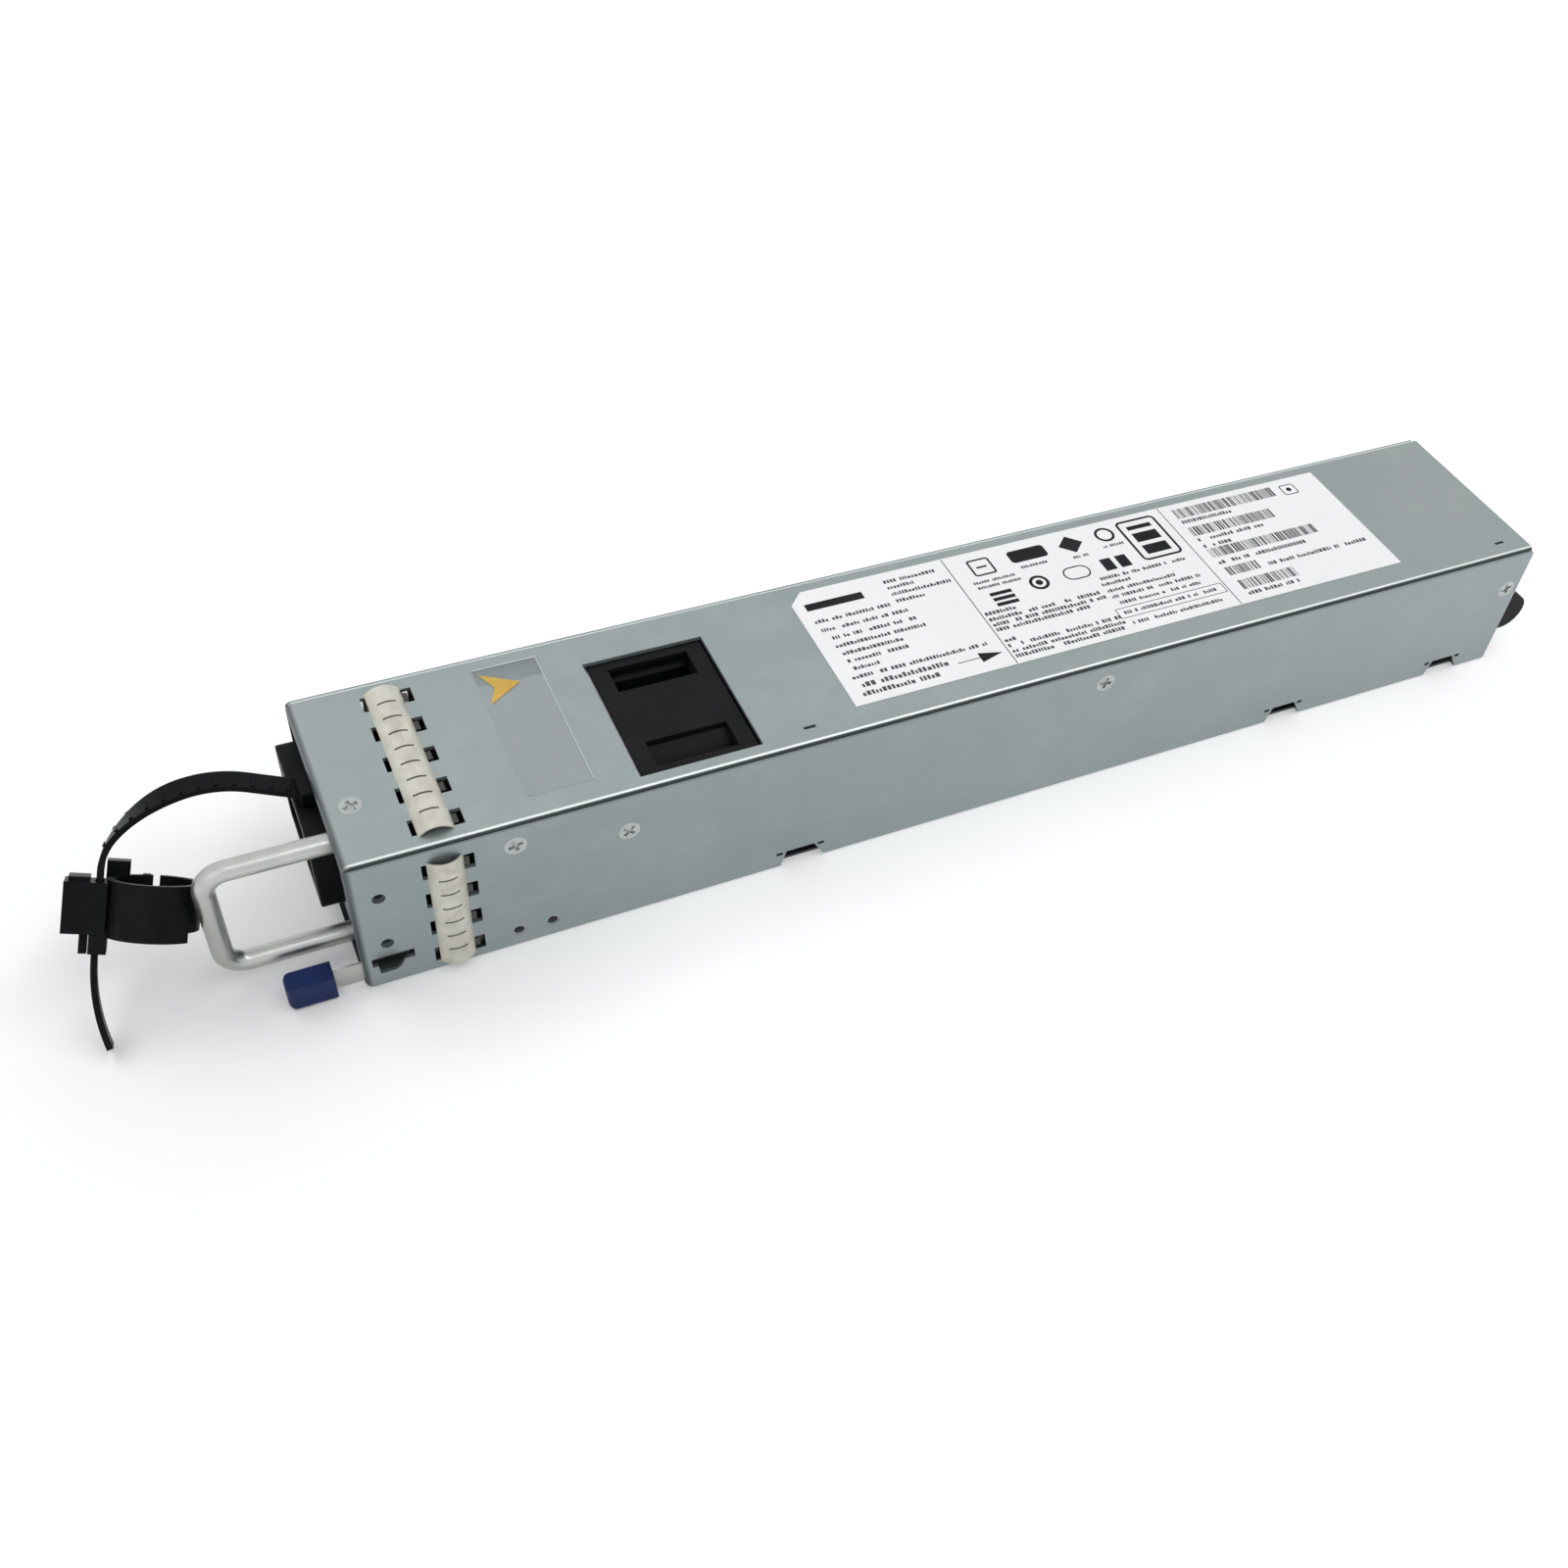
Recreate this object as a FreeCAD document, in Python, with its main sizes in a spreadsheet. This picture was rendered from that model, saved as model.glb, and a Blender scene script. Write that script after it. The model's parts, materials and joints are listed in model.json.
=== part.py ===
import FreeCAD, Part
import math
import os
import re

import Sketcher

# Hot-swap power supply module for a data centre rack: a folded steel case with a fan behind a
# window in its cover, an inlet, pull handle and side latch in front, and a blind-mate output
# connector behind. Millimetres, +X from the front face to the rear, +Z up, origin at the centre
# of the case's underside. Places along X are written from the front face.

V = FreeCAD.Vector

# Driving dimensions: one named value for each size that can be set by itself.
SIZES = {
    # Case
    "case_length": 321.5, "case_width": 54.5, "case_height": 40.0, "wall": 1.0,
    "wall_drop": 1.0, "edge_bend": 0.9, "front_bend": 1.9, "front_flange": 2.65, "slip": 0.05,
    "cover_lip": 2.4, "cover_skirt": 14.0, "skirt_start": 28.5,
    "foot_notch_1": 99.7, "foot_notch_2_rear": 77.8, "foot_notch_3_rear": 22.3,
    "foot_notch_length": 12.2,
    "foot_notch_height": 5.4, "foot_notch_depth": 2.2, "foot_notch_fore": 1.6,
    "foot_notch_aft": 3.4, "ear_length": 1.7, "ear_height": 0.9, "ear_gap": 1.0,
    "side_hole_x": 6.1, "side_hole_low": 14.0, "side_hole_drop": 10.8, "side_hole_radius": 1.45,
    "mark_1_x": 106.0, "mark_2_rear": 9.5, "mark_side": 5.85, "mark_length": 3.0, "mark_width": 0.8,
    # Screws
    "screw_head_radius": 2.65, "screw_radius": 1.4, "screw_length": 4.6, "thread_gap": 0.08,
    "screw_1_x": 36.1, "screw_1_drop": 6.0, "screw_2_x": 61.7, "screw_2_drop": 11.4,
    "screw_3_x": 185.2, "screw_3_drop": 6.0, "screw_4_rear": 4.2, "screw_4_rise": 5.6,
    "top_screw_x": 6.1, "top_screw_y": -9.3,
    # Shielding finger strips
    "strip_x": 20.8, "strip_width": 7.9, "strip_rise": 1.9, "strip_sheet": 0.3,
    "top_fingers": 9, "top_margin": 10.13, "side_fingers": 7, "side_margin": 7.38,
    "strip_sag": 0.6,
    "strip_slot": 0.5, "strip_slot_length": 4.2, "hook_width": 2.6, "hook_depth": 1.5,
    "hook_hole_fore": 1.1, "hook_hole_aft": 2.4, "hook_hole_under": 0.7,
    "hook_hole_length": 4.6, "strip_y": -0.3, "strip_end": 0.55, "hook_flag": 1.6,
    # Labels on the cover
    "label_start": 120.4, "label_length": 160.9, "label_width": 41.6, "label_y": 1.7,
    "label_corner": 4.0, "paper": 0.15, "film_start": 41.4, "film_length": 15.1,
    "film_width": 42.0, "film_y": 1.1,
    # Front panel
    "panel_depth": 12.0, "latch_notch_height": 8.9, "latch_notch_width": 6.0,
    "vent_radius": 1.35, "vent_pitch": 3.4, "vent_squeeze": 0.95, "rear_vent": 1.5,
    "rear_pitch": 3.74, "lens_radius": 1.2, "lens_side": 5.65,
    "lens_low": 15.0, "lens_high": 25.0,
    # Inlet
    "bezel_near": 8.25, "bezel_side": 4.0, "inlet_sag": 0.2, "bezel_room": 15.5,
    "bezel_proud": 4.2, "bezel_corner": 2.4, "inlet_body_width": 26.8, "inlet_body_height": 19.6,
    "inlet_body_end": 20.0, "socket_width": 24.2, "socket_height": 16.6, "socket_cut": 4.6,
    "socket_floor": 12.5, "pin_width": 2.0, "pin_height": 4.0, "pin_spread": 7.0, "pin_drop": 2.0,
    "earth_rise": 2.4, "pin_tip": 0.5, "pin_tail": 28.5, "inlet_gap": 0.2,
    # Pull handle
    "handle_gap": 2.9, "handle_room": 10.0, "handle_reach": 29.0,
    "handle_radius": 2.35, "handle_bend": 5.2, "tap_depth": 7.0, "tap_radius": 1.5,
    # Side latch
    "leaf_gap": 1.05, "leaf_sheet": 0.6, "leaf_low": 1.2, "leaf_height": 6.0,
    "leaf_end": 45.8, "leaf_start": 14.6, "leaf_head_height": 5.7, "leaf_head_end": 5.6,
    "tooth_start": 3.3, "tooth_length": 7.6, "tooth_proud": 2.3, "tooth_low": 7.3,
    "tooth_height": 0.9, "tooth_flat": 3.4, "latch_slot_start": 2.1, "latch_slot_length": 9.4,
    "latch_slot_low": 7.1, "latch_slot_height": 2.7,
    "cap_start": 16.6, "cap_end": 6.2, "cap_thickness": 5.0, "cap_low": 0.8, "cap_height": 6.9,
    "cap_corner": 1.5, "rivet_1_x": 35.0, "rivet_2_x": 42.9, "rivet_z": 5.4,
    "rivet_radius": 1.5, "rivet_bore": 1.25, "rivet_flange": 2.2, "rivet_play": 0.8, "rivet_slack": 0.2,
    # Cord strap and clamp
    "strap_y": 5.0, "strap_under": 3.94, "strap_lean": 40.0, "strap_width": 5.0, "strap_sheet": 1.3,
    "strap_drop": 2.4, "strap_rise": 22.5, "strap_run": 13.0, "strap_bow": 27.8,
    "strap_bow_end": 39.4, "strap_turn": 14.35, "strap_fall": 70.6, "strap_straight": 18.0,
    "strap_tail": 45.2, "strap_tail_end": 96.0, "foot_width": 6.6, "foot_height": 4.3,
    "foot_proud": 2.6, "foot_y": 3.6, "foot_under": 5.4, "rung_pitch": 3.7, "rung_width": 0.8,
    "rung_height": 0.35, "clamp_length": 10.9, "clamp_back": 6.7, "clamp_front": 1.7,
    "clamp_width": 8.0, "ring_offset": 10.7, "ring_radius": 9.3, "ring_wall": 1.5,
    "ring_length": 12.1, "ring_gap": 1.3, "clamp_slip": 0.2, "clamp_rest": 2.0,
    "collar_length": 4.2, "release_length": 4.4, "release_width": 1.6,
    # Fan
    "fan_x": 66.9, "fan_depth": 28.0, "fan_y": -3.5,
    "window_gap": 0.25, "window_fore": 1.1,
    "fan_wall": 1.0, "fan_flange": 4.2, "fan_duct_wall": 1.3, "fan_hole_inset": 3.0,
    "fan_hole_radius": 1.75, "hub_share": 0.645, "blade_count": 7, "blade_gap": 0.7,
    "blade_sheet": 1.1, "blade_pitch_root": 38.0, "blade_pitch_tip": 50.0, "blade_start": 3.5,
    "blade_end": 20.5, "shaft_radius": 1.5, "bearing_radius": 3.0, "bearing_gap": 0.05,
    "bracket_sheet": 0.5, "bracket_return": 10.0,
    # Boards and what they carry
    "board_z": 4.5, "board_sheet": 1.6, "board_start": 99.0, "board_rear": 12.5,
    "board_side": 3.05, "board_steps": 210.0, "rise_steps": 32.9, "side_steps": 48.4, "filter_start": 25.5, "filter_end": 64.0,
    "filter_near": 6.75, "filter_far": 3.75, "can_gap": 0.4, "choke_ring": 8.5, "choke_coil": 4.3,
    "film_depth": 9.0, "film_rise": 15.0, "fuse_radius": 3.0, "pillar_radius": 2.4, "sheet_insulation": 0.35,
    "lead_radius": 1.2, "lead_side": 6.85, "lead_pitch": 3.0, "lead_bend": 3.0, "lead_z": 11.0,
    # Output connector
    "plug_depth": 24.0, "plug_height": 15.6, "plug_side": 2.45, "plug_proud": 1.2,
    "lug_reach": 9.2, "lug_width": 5.6, "lug_low": 8.6, "lug_height": 11.4,
    "blade_slot": 2.4, "power_pitch": 4.6, "signal_pitch": 2.2,
}

# Places and sizes that follow from others, as formulas. A name used in a formula comes later.
FOLLOWING = {
    "boost_ring": "can_radius*0.625",
    "boost_coil": "can_radius*0.33",
    "can_radius": "15.2*min(rise_step; side_step)",
    "bore_ring": "fan_bore + fan_duct_wall",
    "hub_radius": "fan_bore*hub_share",
    "fan_bore": "fan_side/2 - fan_wall",
    "fan_hole_pitch": "fan_side - 2*fan_hole_inset",
    "fan_side": "case_height - 2*wall",
    "board_step": "(board_end - board_start)/board_steps",
    "rise_step": "(case_height - wall - board_z - board_sheet)/rise_steps",
    "side_step": "board_width/side_steps",
    "board_end": "case_length - board_rear",
    "board_width": "case_width - 2*board_side",
    "filter_y": "(filter_near - filter_far)/2",
    "filter_width": "case_width - filter_near - filter_far",
    "plug_start": "case_length - plug_depth",
    "plug_width": "case_width - 2*plug_side",
    "lead_y": "case_width/2 - lead_side",
    "leaf_y": "wall + leaf_gap - case_width/2",
    "handle_y": "0 - bezel_near - handle_gap - handle_radius",
    "handle_z": "case_height/2",
    "handle_span": "case_height - handle_room",
    "inlet_y": "(case_width/2 - bezel_side - bezel_near)/2",
    "inlet_z": "case_height/2 - inlet_sag",
    "bezel_width": "case_width/2 - bezel_side + bezel_near",
    "bezel_height": "case_height - bezel_room",
    "lens_y": "lens_side - case_width/2",
    "strap_z": "case_height - strap_under",
    "foot_z": "case_height - foot_under",
    "strip_z": "case_height/2 - strip_sag",
    "side_pitch": "(case_height - side_margin)/side_fingers",
    "top_pitch": "(case_width - top_margin)/top_fingers",
    "side_hole_high": "case_height - side_hole_drop",
    "screw_1_z": "case_height - screw_1_drop",
    "screw_2_z": "case_height - screw_2_drop",
    "screw_3_z": "case_height - screw_3_drop",
    "screw_4_z": "board_z + board_sheet + plug_height + screw_4_rise",
    "screw_4_x": "case_length - screw_4_rear",
    "foot_notch_2": "case_length - foot_notch_2_rear",
    "foot_notch_3": "case_length - foot_notch_3_rear",
    "mark_2_x": "case_length - mark_2_rear",
    "mark_y": "mark_side - case_width/2",
}

doc = FreeCAD.newDocument("PowerSupplyModule")
NODES = []


def write_sheet():
    """Put every driving dimension in the sheet, one row each."""
    sheet = doc.addObject("Spreadsheet::Sheet", "Sizes")
    for row, (name, value) in enumerate(SIZES.items(), start=1):
        sheet.set(f"A{row}", name)
        sheet.set(f"B{row}", str(value))
        sheet.setAlias(f"B{row}", name)
    doc.recompute()
    return sheet


SHEET = write_sheet()


def ex(text):
    """A formula in size names, as an expression on the sheet."""
    for name, formula in FOLLOWING.items():
        text = re.sub(rf"\b{name}\b", f"({formula})", text)
    return re.sub(r"[a-z][a-z_0-9]*", lambda m: "Sizes." + m[0] if m[0] in SIZES else m[0], text)


def size(name):
    """The number in the sheet under this name, or the one that a formula gives."""
    if name in SIZES:
        return float(SHEET.get(name))
    probe = doc.addObject("App::Placement", "Probe")
    probe.setExpression("Placement.Base.x", ex(name))
    doc.recompute([probe])
    value = probe.Placement.Base.x
    doc.removeObject(probe.Name)
    return value


def place(item, corner, turn=None):
    """Put an object at (x from the front face, y, z)."""
    if turn is not None:
        item.Placement = FreeCAD.Placement(V(0, 0, 0), turn)
    x, y, z = corner
    item.setExpression("Placement.Base.x", ex(f"({x}) - case_length/2"))
    item.setExpression("Placement.Base.y", ex(y))
    item.setExpression("Placement.Base.z", ex(z))
    return item


TURN = {
    "x": FreeCAD.Rotation(V(0, 1, 0), 90),
    "y": FreeCAD.Rotation(V(1, 0, 0), -90),
    "z": FreeCAD.Rotation(),
}


def block(low, high):
    """A box from its low corner to its high corner."""
    item = doc.addObject("Part::Box", "Block")
    for side, start, end in zip(("Length", "Width", "Height"), low, high):
        item.setExpression(side, ex(f"({end}) - ({start})"))
    return place(item, low)


def rod(axis, start, length, radius):
    """A cylinder along an axis, from the centre of its first end."""
    item = doc.addObject("Part::Cylinder", "Rod")
    item.setExpression("Height", ex(length))
    item.setExpression("Radius", ex(radius))
    return place(item, start, TURN[axis])


def cone(axis, start, length, radius_1, radius_2):
    """A cone along an axis, from the centre of its first end."""
    item = doc.addObject("Part::Cone", "Cone")
    item.setExpression("Height", ex(length))
    item.setExpression("Radius1", ex(radius_1))
    item.setExpression("Radius2", ex(radius_2))
    return place(item, start, TURN[axis])


def hexagon(start, length, radius):
    """A six-sided prism along X."""
    item = doc.addObject("Part::Prism", "Hexagon")
    item.Polygon = 6
    item.setExpression("Height", ex(length))
    item.setExpression("Circumradius", ex(radius))
    return place(item, start, TURN["x"])


def join(items):
    """Several overlapping or touching objects as one."""
    if len(items) == 1:
        return items[0]
    item = doc.addObject("Part::MultiFuse", "Join")
    item.Shapes = items
    item.Refine = True
    return item


def cut(base, tools):
    """The base without the tools."""
    item = doc.addObject("Part::Cut", "Cut")
    item.Base = base
    item.Tool = join(tools)
    item.Refine = True
    return item


def group(items):
    """Separate solids kept as one node."""
    item = doc.addObject("Part::Compound", "Group")
    item.Links = items
    return item


def shaped(shape, placement=None):
    """A shape made by Part's own functions, as a document object."""
    item = doc.addObject("Part::Feature", "Shaped")
    item.Shape = shape
    if placement is not None:
        item.Placement = placement
    return item


def node(name, item):
    """Name a finished sub-part."""
    item.Label = name
    NODES.append(item)
    return item


def outline(body, plane, points, name="Outline"):
    """A closed sketch on one of the body's own planes, each corner bound to two formulas."""
    sketch = body.newObject("Sketcher::SketchObject", name)
    support = [feature for feature in body.Origin.OriginFeatures if feature.Role == plane][0]
    sketch.AttachmentSupport = [(support, "")]
    sketch.MapMode = "FlatFace"
    count = len(points)
    for i in range(count):
        j = (i + 1) % count
        sketch.addGeometry(Part.LineSegment(V(i, i * i + 1, 0), V(j, j * j + 1, 0)), False)
    for i in range(count):
        sketch.addConstraint(Sketcher.Constraint("Coincident", i, 2, (i + 1) % count, 1))
    for i, (u, v) in enumerate(points):
        across = sketch.addConstraint(Sketcher.Constraint("DistanceX", i, 1, float(i)))
        sketch.setExpression(f"Constraints[{across}]", ex(u))
        upward = sketch.addConstraint(Sketcher.Constraint("DistanceY", i, 1, float(i * i + 1)))
        sketch.setExpression(f"Constraints[{upward}]", ex(v))
    return sketch


def prism(plane, points, start, end):
    """A body padded from a closed outline, between two places on the plane's normal."""
    body = doc.addObject("PartDesign::Body", "Body")
    sketch = outline(body, plane, points)
    pad = body.newObject("PartDesign::Pad", "Pad")
    pad.Profile = sketch
    pad.setExpression("Length", ex(f"({end}) - ({start})"))
    pad.Reversed = plane == "XZ_Plane"
    corner = {
        "YZ_Plane": (start, "0", "0"),
        "XZ_Plane": ("0", start, "0"),
        "XY_Plane": ("0", "0", start),
    }[plane]
    return place(body, corner)


def smooth(base, radius, picks):
    """Round the edges whose middle point a test picks."""
    doc.recompute()
    item = doc.addObject("Part::Fillet", "Smooth")
    item.Base = base
    front = -size("case_length") / 2
    chosen = []
    for number, edge in enumerate(base.Shape.Edges, start=1):
        middle = edge.BoundBox.Center
        if picks(edge, V(middle.x - front, middle.y, middle.z)):
            chosen.append((number, radius, radius))
    item.Edges = chosen
    return item


def near(value, target):
    """Whether two lengths are the same within a hair."""
    return abs(value - target) < 0.02


BOARD_TOP = "board_z + board_sheet"


# Case

def screw_places():
    """The side screws' places, as formulas for x and z."""
    return [(f"screw_{i}_x", f"screw_{i}_z") for i in (1, 2, 3, 4)]


def hook_holes_side(sign):
    """Clearance holes for the finger strip's hooks in one side wall."""
    holes = []
    for k in range(4):
        middle = f"strip_z + {2 * k - 3}*side_pitch"
        for start, end in hook_hole_spans():
            holes.append(block((start, wall_low(sign), f"{middle} - hook_hole_length/2"),
                               (end, wall_high(sign), f"{middle} + hook_hole_length/2")))
    return holes


def hook_hole_spans():
    """Where the holes before and behind a finger strip start and end, as formulas for x."""
    fore = "strip_x - strip_width/2"
    aft = "strip_x + strip_width/2"
    return [(f"{fore} - hook_hole_fore", f"{fore} + hook_hole_under"),
            (f"{aft} - hook_hole_under", f"{aft} + hook_hole_aft")]


def wall_low(sign):
    """Just outside or inside the near (-1) or far (+1) wall, on its low side."""
    return "-case_width/2 - 1" if sign < 0 else "case_width/2 - wall - 0.1"


def wall_high(sign):
    """The same on its high side."""
    return "-case_width/2 + wall + 0.1" if sign < 0 else "case_width/2 + 1"


def base_tray():
    """Floor, two side walls and their folded-in front flanges, from one sheet."""
    top = "case_height - wall_drop"
    shell = prism("YZ_Plane", [
        ("-case_width/2", "0"), ("case_width/2", "0"), ("case_width/2", top),
        ("case_width/2 - wall", top), ("case_width/2 - wall", "wall"),
        ("-case_width/2 + wall", "wall"), ("-case_width/2 + wall", top), ("-case_width/2", top),
    ], "0", "case_length")
    flange_top = "case_height - cover_lip - slip"
    flanges = [
        block(("0", "-case_width/2", "0"), ("wall", "-case_width/2 + front_flange", flange_top)),
        block(("0", "case_width/2 - front_flange", "0"), ("wall", "case_width/2", flange_top)),
    ]
    sheet = join([shell] + flanges)
    half = size("case_width") / 2
    sheet = smooth(sheet, size("front_bend"), lambda edge, at:
                   near(abs(at.y), half) and near(at.x, 0)
                   and edge.Length > size("case_height") / 2)
    sheet = smooth(sheet, size("edge_bend"), lambda edge, at:
                   near(abs(at.y), half) and near(at.z, 0)
                   and edge.Length > size("case_length") / 2)
    tools = []
    for sign in (-1, 1):
        side = "-case_width/2 - 1" if sign < 0 else "case_width/2 - wall - 0.1"
        through = "wall + 1.1"
        for z in ("side_hole_low", "side_hole_high"):
            tools.append(rod("y", ("side_hole_x", side, z), through, "side_hole_radius"))
        for x, z in screw_places():
            tools.append(countersink(sign, x, z))
            tools.append(rod("y", (x, side, z), through, "screw_radius + thread_gap"))
        for i in (1, 2, 3):
            tools += foot_notch(sign, f"foot_notch_{i}")
        tools += hook_holes_side(sign)
    for x in ("rivet_1_x", "rivet_2_x"):
        tools.append(rod("y", (x, "-case_width/2 - 1", "rivet_z"), "wall + 1.1",
                         "rivet_radius + slip"))
    tools.append(block(
        ("latch_slot_start", "-case_width/2 - 1", "latch_slot_low"),
        ("latch_slot_start + latch_slot_length", "-case_width/2 + wall + 0.1",
         "latch_slot_low + latch_slot_height")))
    tools.append(block(("-1", "-case_width/2 + wall", "wall"),
                       ("wall + 0.1", "-case_width/2 + front_flange + 0.1",
                        "latch_notch_height")))
    node("base_tray", cut(sheet, tools))


def foot_notch(sign, start):
    """A tapered notch over the lower edge of one side wall, with an ear hole on each side."""
    low, high = ("-case_width/2 - 1", "-case_width/2 + foot_notch_depth")
    if sign > 0:
        low, high = ("case_width/2 - foot_notch_depth", "case_width/2 + 1")
    end = f"{start} + foot_notch_length"
    notch = prism("XZ_Plane", [
        (start, "-0.1"), (end, "-0.1"), (f"{end} - foot_notch_aft", "foot_notch_height"),
        (f"{start} + foot_notch_fore", "foot_notch_height"),
    ], low, high)
    ears = []
    for ear in (f"{start} + foot_notch_fore - ear_gap - ear_length",
                f"{end} - foot_notch_aft + ear_gap"):
        ears.append(block((ear, wall_low(sign), "foot_notch_height - ear_height"),
                          (f"{ear} + ear_length", wall_high(sign), "foot_notch_height")))
    return [notch] + ears


def countersink(sign, x, z):
    """The cone that a countersunk head sinks into in a side wall."""
    if sign < 0:
        return cone("y", (x, "-case_width/2", z), "wall", "screw_head_radius + slip",
                    "screw_radius + thread_gap")
    return cone("y", (x, "case_width/2 - wall", z), "wall", "screw_radius + thread_gap",
                "screw_head_radius + slip")


def fan_cutout(low, high):
    """The window over the fan and its bracket's edge."""
    return block(("fan_x - window_fore", "fan_y - fan_side/2 - window_gap", low),
                 ("fan_x + fan_depth + 2*window_gap", "fan_y + fan_side/2 + window_gap", high))


def top_cover():
    """Cover sheet with skirts inside the side walls and a folded front lip."""
    side = "case_width/2 - wall - slip"
    low = "case_height - cover_skirt"
    under = "case_height - wall"
    shell = prism("YZ_Plane", [
        (f"-({side})", low), (f"-({side}) + wall", low), (f"-({side}) + wall", under),
        (f"{side} - wall", under), (f"{side} - wall", low), (side, low),
        (side, "case_height"), (f"-({side})", "case_height"),
    ], "0", "case_length")
    freed = [
        block(("-1", f"-({side}) - 1", f"{low} - 1"), ("skirt_start", f"-({side}) + wall + 0.1",
                                                       under)),
        block(("-1", f"{side} - wall - 0.1", f"{low} - 1"), ("skirt_start", f"{side} + 1", under)),
    ]
    sheet = cut(shell, freed)
    lip = block(("0", f"-({side})", "case_height - cover_lip"), ("wall", side, "case_height"))
    sheet = join([sheet, lip])
    edge_y = size("case_width") / 2 - size("wall") - size("slip")
    height = size("case_height")
    sheet = smooth(sheet, size("front_bend"), lambda edge, at:
                   near(at.x, 0) and near(at.z, height)
                   and edge.Length > size("case_width") / 2)
    sheet = smooth(sheet, size("edge_bend"), lambda edge, at:
                   near(abs(at.y), edge_y) and near(at.z, height)
                   and edge.Length > size("case_length") / 2)
    tools = [fan_cutout("case_height - wall - 1", "case_height + 1")]
    for k in range(5):
        middle = f"strip_y + {2 * (k - 2)}*top_pitch"
        for start, end in hook_hole_spans():
            tools.append(block((start, f"{middle} - hook_hole_length/2", f"{under} - 1"),
                               (end, f"{middle} + hook_hole_length/2", "case_height + 1")))
    tools.append(cone("z", ("top_screw_x", "top_screw_y", under), "wall",
                      "screw_radius + thread_gap", "screw_head_radius + slip"))
    for x in ("mark_1_x", "mark_2_x"):
        tools.append(block((x, "mark_y - mark_width/2", f"{under} - 1"),
                           (f"{x} + mark_length", "mark_y + mark_width/2", "case_height + 1")))
    for x, z in screw_places():
        for start in (f"-({side}) - 0.5", f"{side} - wall - 0.5"):
            tools.append(rod("y", (x, start, z), "wall + 1", "screw_radius + thread_gap"))
    node("top_cover", cut(sheet, tools))


def front_panel():
    """Folded plate behind the case's front edges, with the openings for what it carries."""
    side = "case_width/2 - wall - slip"
    face = "wall + slip"
    back = "2*wall + slip"
    low = "wall + slip"
    high = "case_height - wall - slip"
    plates = [
        block((face, f"-({side})", low), (back, side, high)),
        block((face, f"-({side})", low), ("panel_depth", f"-({side}) + wall", high)),
        block((face, f"{side} - wall", low), ("panel_depth", side, high)),
        block((face, f"7 - {side}", f"{high} - wall"), ("panel_depth - 1", f"{side} - 7", high)),
    ]
    tools = [block(("0", f"-({side}) - 1", "0"),
                   ("panel_depth + 1", f"-({side}) + latch_notch_width - wall",
                    "latch_notch_height"))]
    tools.append(block(
        ("0", "inlet_y - inlet_body_width/2 - inlet_gap",
         "inlet_z - inlet_body_height/2 - inlet_gap"),
        ("4", "inlet_y + inlet_body_width/2 + inlet_gap",
         "inlet_z + inlet_body_height/2 + inlet_gap")))
    for z in ("handle_z - handle_span/2", "handle_z + handle_span/2"):
        tools.append(rod("x", ("0", "handle_y", z), "4", "screw_radius + thread_gap"))
    for z in ("lens_low", "lens_high"):
        tools.append(rod("x", ("0", "lens_y", z), "4", "lens_radius + slip"))
    for z in ("side_hole_low", "side_hole_high"):
        for start in (f"-({side}) - 0.5", f"{side} - wall - 0.5"):
            tools.append(rod("y", ("side_hole_x", start, z), "wall + 1", "side_hole_radius - 0.3"))
    tools.append(rod("z", ("top_screw_x", "top_screw_y", f"{high} - wall - 1"), "wall + 2",
                     "screw_radius + thread_gap"))
    tools.append(block(("0", "foot_y - foot_width/4 - slip", "foot_z - foot_height/4 - slip"),
                       ("4", "foot_y + foot_width/4 + slip", "foot_z + foot_height/4 + slip")))
    for row in range(5):
        for column in range(3):
            y = f"handle_y + {column - 1}*vent_pitch"
            z = f"handle_z + {row - 2}*vent_pitch*vent_squeeze"
            tools.append(hexagon(("0", y, z), "4", "vent_radius"))
    for column in range(8):
        tools.append(hexagon(("0", f"inlet_y + {column - 3.5}*vent_pitch", "4.6"), "4",
                             "vent_radius"))
    node("front_panel", cut(join(plates), tools))


def rear_panel():
    """Perforated plate above the output connector, folded forward at its sides."""
    side = "case_width/2 - 2*wall - 3*slip"
    face = "case_length - 0.3"
    low = "board_z + board_sheet + plug_height + 0.3"
    high = "case_height - wall - slip"
    plates = [
        block((f"{face} - wall", f"-({side})", low), (face, side, high)),
        block((f"{face} - 10", f"-({side})", low), (face, f"-({side}) + wall", high)),
        block((f"{face} - 10", f"{side} - wall", low), (face, side, high)),
    ]
    tools = []
    for start in (f"-({side}) - 0.5", f"{side} - wall - 0.5"):
        tools.append(rod("y", ("screw_4_x", start, "screw_4_z"), "wall + 1",
                         "screw_radius + thread_gap"))
    pitch = size("rear_pitch")
    drop = size("vent_pitch") * size("vent_squeeze")
    edge = size("wall") + 2 * size("rear_vent")
    width = size("case_width") - 4 * size("wall") - 2 * edge + 2 * size("rear_vent")
    height = size("case_height") - size("board_z") - size("plug_height") - 2 * edge
    columns = int(width / pitch) + 1
    for row in range(int(height / drop) + 1):
        count = columns - row % 2
        for column in range(count):
            y = f"{column - (count - 1) / 2}*rear_pitch"
            z = f"{low} + 2.9 + {row}*vent_pitch*vent_squeeze"
            tools.append(hexagon((f"{face} - wall - 1", y, z), "wall + 2", "rear_vent"))
    node("rear_panel", cut(join(plates), tools))


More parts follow.
